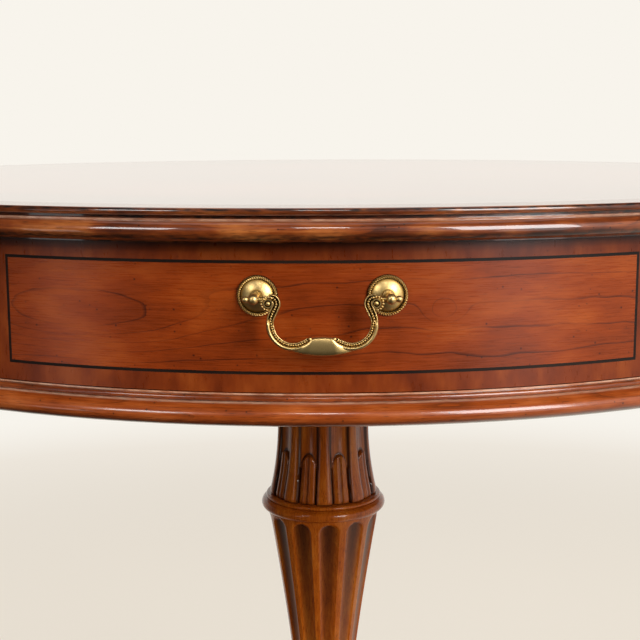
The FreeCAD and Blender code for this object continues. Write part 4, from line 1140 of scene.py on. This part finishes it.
def arc(circle, start, end, count):
    (x, z), radius = circle
    angles = np.radians(np.linspace(start, end, count))
    return np.stack([x + radius * np.cos(angles), z + radius * np.sin(angles)], axis=-1)


scroll = arc(SCROLL, 80, 180 + STRAP_LEAN, SCROLL_POINTS)
line = np.concatenate([scroll, arc(BOW, STRAP_LEAN, BOW_TIP, 46)])
steps = np.concatenate([[0], np.cumsum(np.linalg.norm(np.diff(line, axis=0), axis=1))])
even = np.linspace(0, steps[-1], 110)
path = np.stack([np.interp(even, steps, line[:, axis]) for axis in (0, 1)], axis=-1)
forward = np.gradient(path, axis=0)
forward /= np.linalg.norm(forward, axis=1, keepdims=True)
sideways = np.stack([-forward[:, 1], forward[:, 0]], axis=-1)
print("strap", round(steps[-1], 1), "mm long")

# %% [markdown]
# The section changes on the way: two rails on the upper part of the arm, and one broad round with a thin
# rail beside it on the bow. The channel between them is tarnished.

# %% Section of the strap
STRAP_WIDTH = 4.9
STRAP_DEPTH = 4.0
CHANNEL_FLOOR = 0.05

waist = steps[SCROLL_POINTS] + 4.0
widths = STRAP_WIDTH * (1 - 0.12 * np.exp(-(((even - waist) / 3.0) ** 2)))
widths = widths * np.interp(even, (0, 3, steps[-1] - 5, steps[-1] - 1, steps[-1]), (0.7, 1, 1, 0.8, 0.45))
late = smooth((even - waist + 1.5) / 4.0)[:, None]  # 0 on the upper part of the arm, 1 on the bow


def rail(u, middle, half):
    """A round rail on the strap: its height across the width."""
    return np.sqrt(np.clip(1 - ((u - middle) / half) ** 2, 0, 1))


u_front = np.linspace(1, -1, 25)
upper = 0.34 * np.maximum(rail(u_front, 0.78, 0.22), rail(u_front, -0.78, 0.22))
lower = np.maximum(0.48 * rail(u_front, 0.46, 0.52), 0.34 * rail(u_front, -0.86, 0.15))
u_back = np.cos(np.linspace(np.pi, 2 * np.pi, 11))[1:-1]
section_u = np.concatenate([u_front, u_back])
back = -0.5 * np.sqrt(1 - u_back**2) + 0 * even[:, None]
front = CHANNEL_FLOOR + upper + (lower - upper) * late
section_y = np.concatenate([front, back], axis=1) * STRAP_DEPTH
channel = np.clip(0.9 - (front - CHANNEL_FLOOR) / 0.2, 0, 0.9)
section_hollow = np.concatenate([channel, 0.2 + 0 * back], axis=1)
bead_u = (-0.42 * late)[:, 0]
print("strap", STRAP_WIDTH, "mm wide, its section has", len(section_u), "points")

# %% [markdown]
# The strap and the grip are skins. The grip is an oval plate whose lower edge carries on the sweep of the
# bows, and it stays under them. The beads are little eggs.

# %% Strap, beads and grip
GRIP_HALF = 18.0
GRIP_LOW = -32.7
GRIP_RISE = 2.9
GRIP_TOP = -21.8
GRIP_TOP_HALF = 8.0
GRIP_CROWN = 0.8
GRIP_BULGE = (0.9, 2.0)  # half depth at its ends, and how much more in the middle


def strap_shell(side):
    spread = path[:, None, :] + sideways[:, None, :] * (section_u[None, :, None] * widths[:, None, None] / 2)
    rows = np.stack([side * spread[..., 0], -section_y, spread[..., 1]], axis=-1)
    return skin(rows, section_hollow)


def ball(centre, radii, sides=8, rings=6):
    """A small ball, or an egg where the three radii differ."""
    tilt = np.linspace(-np.pi / 2 + 0.12, np.pi / 2 - 0.12, rings)
    points, faces, hollow = lathe(np.stack([np.cos(tilt), np.sin(tilt)], axis=-1), sides)
    return points * np.array(radii) + np.array(centre), faces, hollow


def grip_shell():
    """The oval plate between the arms."""
    x = np.linspace(-GRIP_HALF, GRIP_HALF, 49)
    share = np.abs(x) / GRIP_HALF
    low = GRIP_LOW + GRIP_RISE * share**2
    (bow_x, bow_z), bow_radius = BOW
    under_bow = bow_z - np.sqrt(bow_radius**2 - np.clip(np.abs(x) - bow_x, -bow_radius, bow_radius) ** 2)
    crown = GRIP_TOP - GRIP_CROWN * (x / GRIP_TOP_HALF) ** 2
    high = np.minimum(crown, under_bow)
    fullness = smooth((1 - share) / 0.62)
    angle = np.linspace(0, 2 * np.pi, 28, endpoint=False)
    tall = np.sign(np.sin(angle)) * np.abs(np.sin(angle)) ** 0.75
    deep = np.sign(np.cos(angle)) * np.abs(np.cos(angle)) ** 0.45
    y = -0.1 - np.outer(GRIP_BULGE[0] + GRIP_BULGE[1] * fullness, deep)
    z = ((low + high) / 2)[:, None] + np.outer((high - low) / 2, tall)
    return skin(np.stack([x[:, None] + 0 * y, y, z], axis=-1))


print("grip", 2 * GRIP_HALF, "mm long")

# %% [markdown]
# The eye is a turned boss in a ring of beads. Behind it the pin runs through the post's ball and ends in a
# small bead of its own.

# %% Eye and pin
PIN_BEAD = 13.0  # from the eye to the middle of the bead on the pin's outer end
BOSS = [(0.02, 1.5), (0.8, 1.3), (1.3, 0.8), (1.5, 0.2)]
BOSS_RING = [(1.8, 0.2), (2.1, 0.9), (2.6, 0.9), (2.9, 0.3), (2.9, -1.2)]

eye = lathe(BOSS + BOSS_RING, 28, [0, 0, 0.3, 1, 1, 0, 0, 0.4, 0.5])
shank = [(0.9, 0), (1.3, 0.4), (1.3, PIN_BEAD - 2.6), (0.9, PIN_BEAD - 2.2)]
pin_end = [(2.0 * math.cos(a), PIN_BEAD + 2.2 * math.sin(a)) for a in np.linspace(-0.9, 1.4, 9)]
pin = lathe(shank + pin_end + [(0.05, PIN_BEAD + 2.2)], 20, [0.3, 0.2, 0.2, 0.8] + [0] * 10)
print("pin", round(PIN_BEAD + 2.2, 1), "mm long")

# %% [markdown]
# The shells of one bail are collected once and then placed at each of the six pulls. Beads that nearly touch
# would blur into a line in the picture, so they are set a little further apart than on the casting.

# %% Bails
EYE = (31.0, -2.2)
EYE_RING = 3.8
EYE_BEADS = range(-80, 121, 25)
BEAD_STEP = 1.5
BEAD_RADIUS = 0.7


def bail_shells():
    shells = [grip_shell()]
    marks = np.arange(0.8, even[-1] - 0.9, BEAD_STEP)
    offset = (bead_u * widths / 2)[:, None] * sideways
    bead_x, bead_z = (np.interp(marks, even, (path + offset)[:, axis]) for axis in (0, 1))
    facing = Matrix.Rotation(math.pi / 2, 4, "X")
    for side in (1, -1):
        shells.append(strap_shell(side))
        for x, z in zip(bead_x, bead_z):
            shells.append(ball((side * x, -0.5, z), (BEAD_RADIUS, 0.95, BEAD_RADIUS)))
        shells.append(moved(eye, Matrix.Translation((side * EYE[0], -0.9, EYE[1])) @ facing))
        for angle in np.radians(EYE_BEADS):
            spot = (side * (EYE[0] + EYE_RING * math.cos(angle)), -1.0, EYE[1] + EYE_RING * math.sin(angle))
            shells.append(ball(spot, (0.8, 1.0, 0.8)))
        tip_x, tip_z = path[-1]
        shells.append(ball((side * tip_x, -0.9, tip_z + 0.2), (1.3, 1.5, 1.3), 12, 7))
        along = Matrix.Rotation(side * math.pi / 2, 4, "Y")
        shells.append(moved(pin, Matrix.Translation((side * EYE[0], 0, 0)) @ along))
    return shells


bail = bail_shells()
for name, angle in {**FRONT_ANGLES, **FALSE_ANGLES}.items():
    hang = Matrix.Rotation(angle, 4, "Z") @ Matrix.Translation((0, -pin_line, pull_z))
    node = f"{name}_bail" if name in FRONT_ANGLES else name.replace("front_", "front_bail_")
    shells = [moved(shell, hang) for shell in bail]
    add_piece(f"{name}_cast_bail", shells, f"{name}_handle", brass, "antique_brass", node)
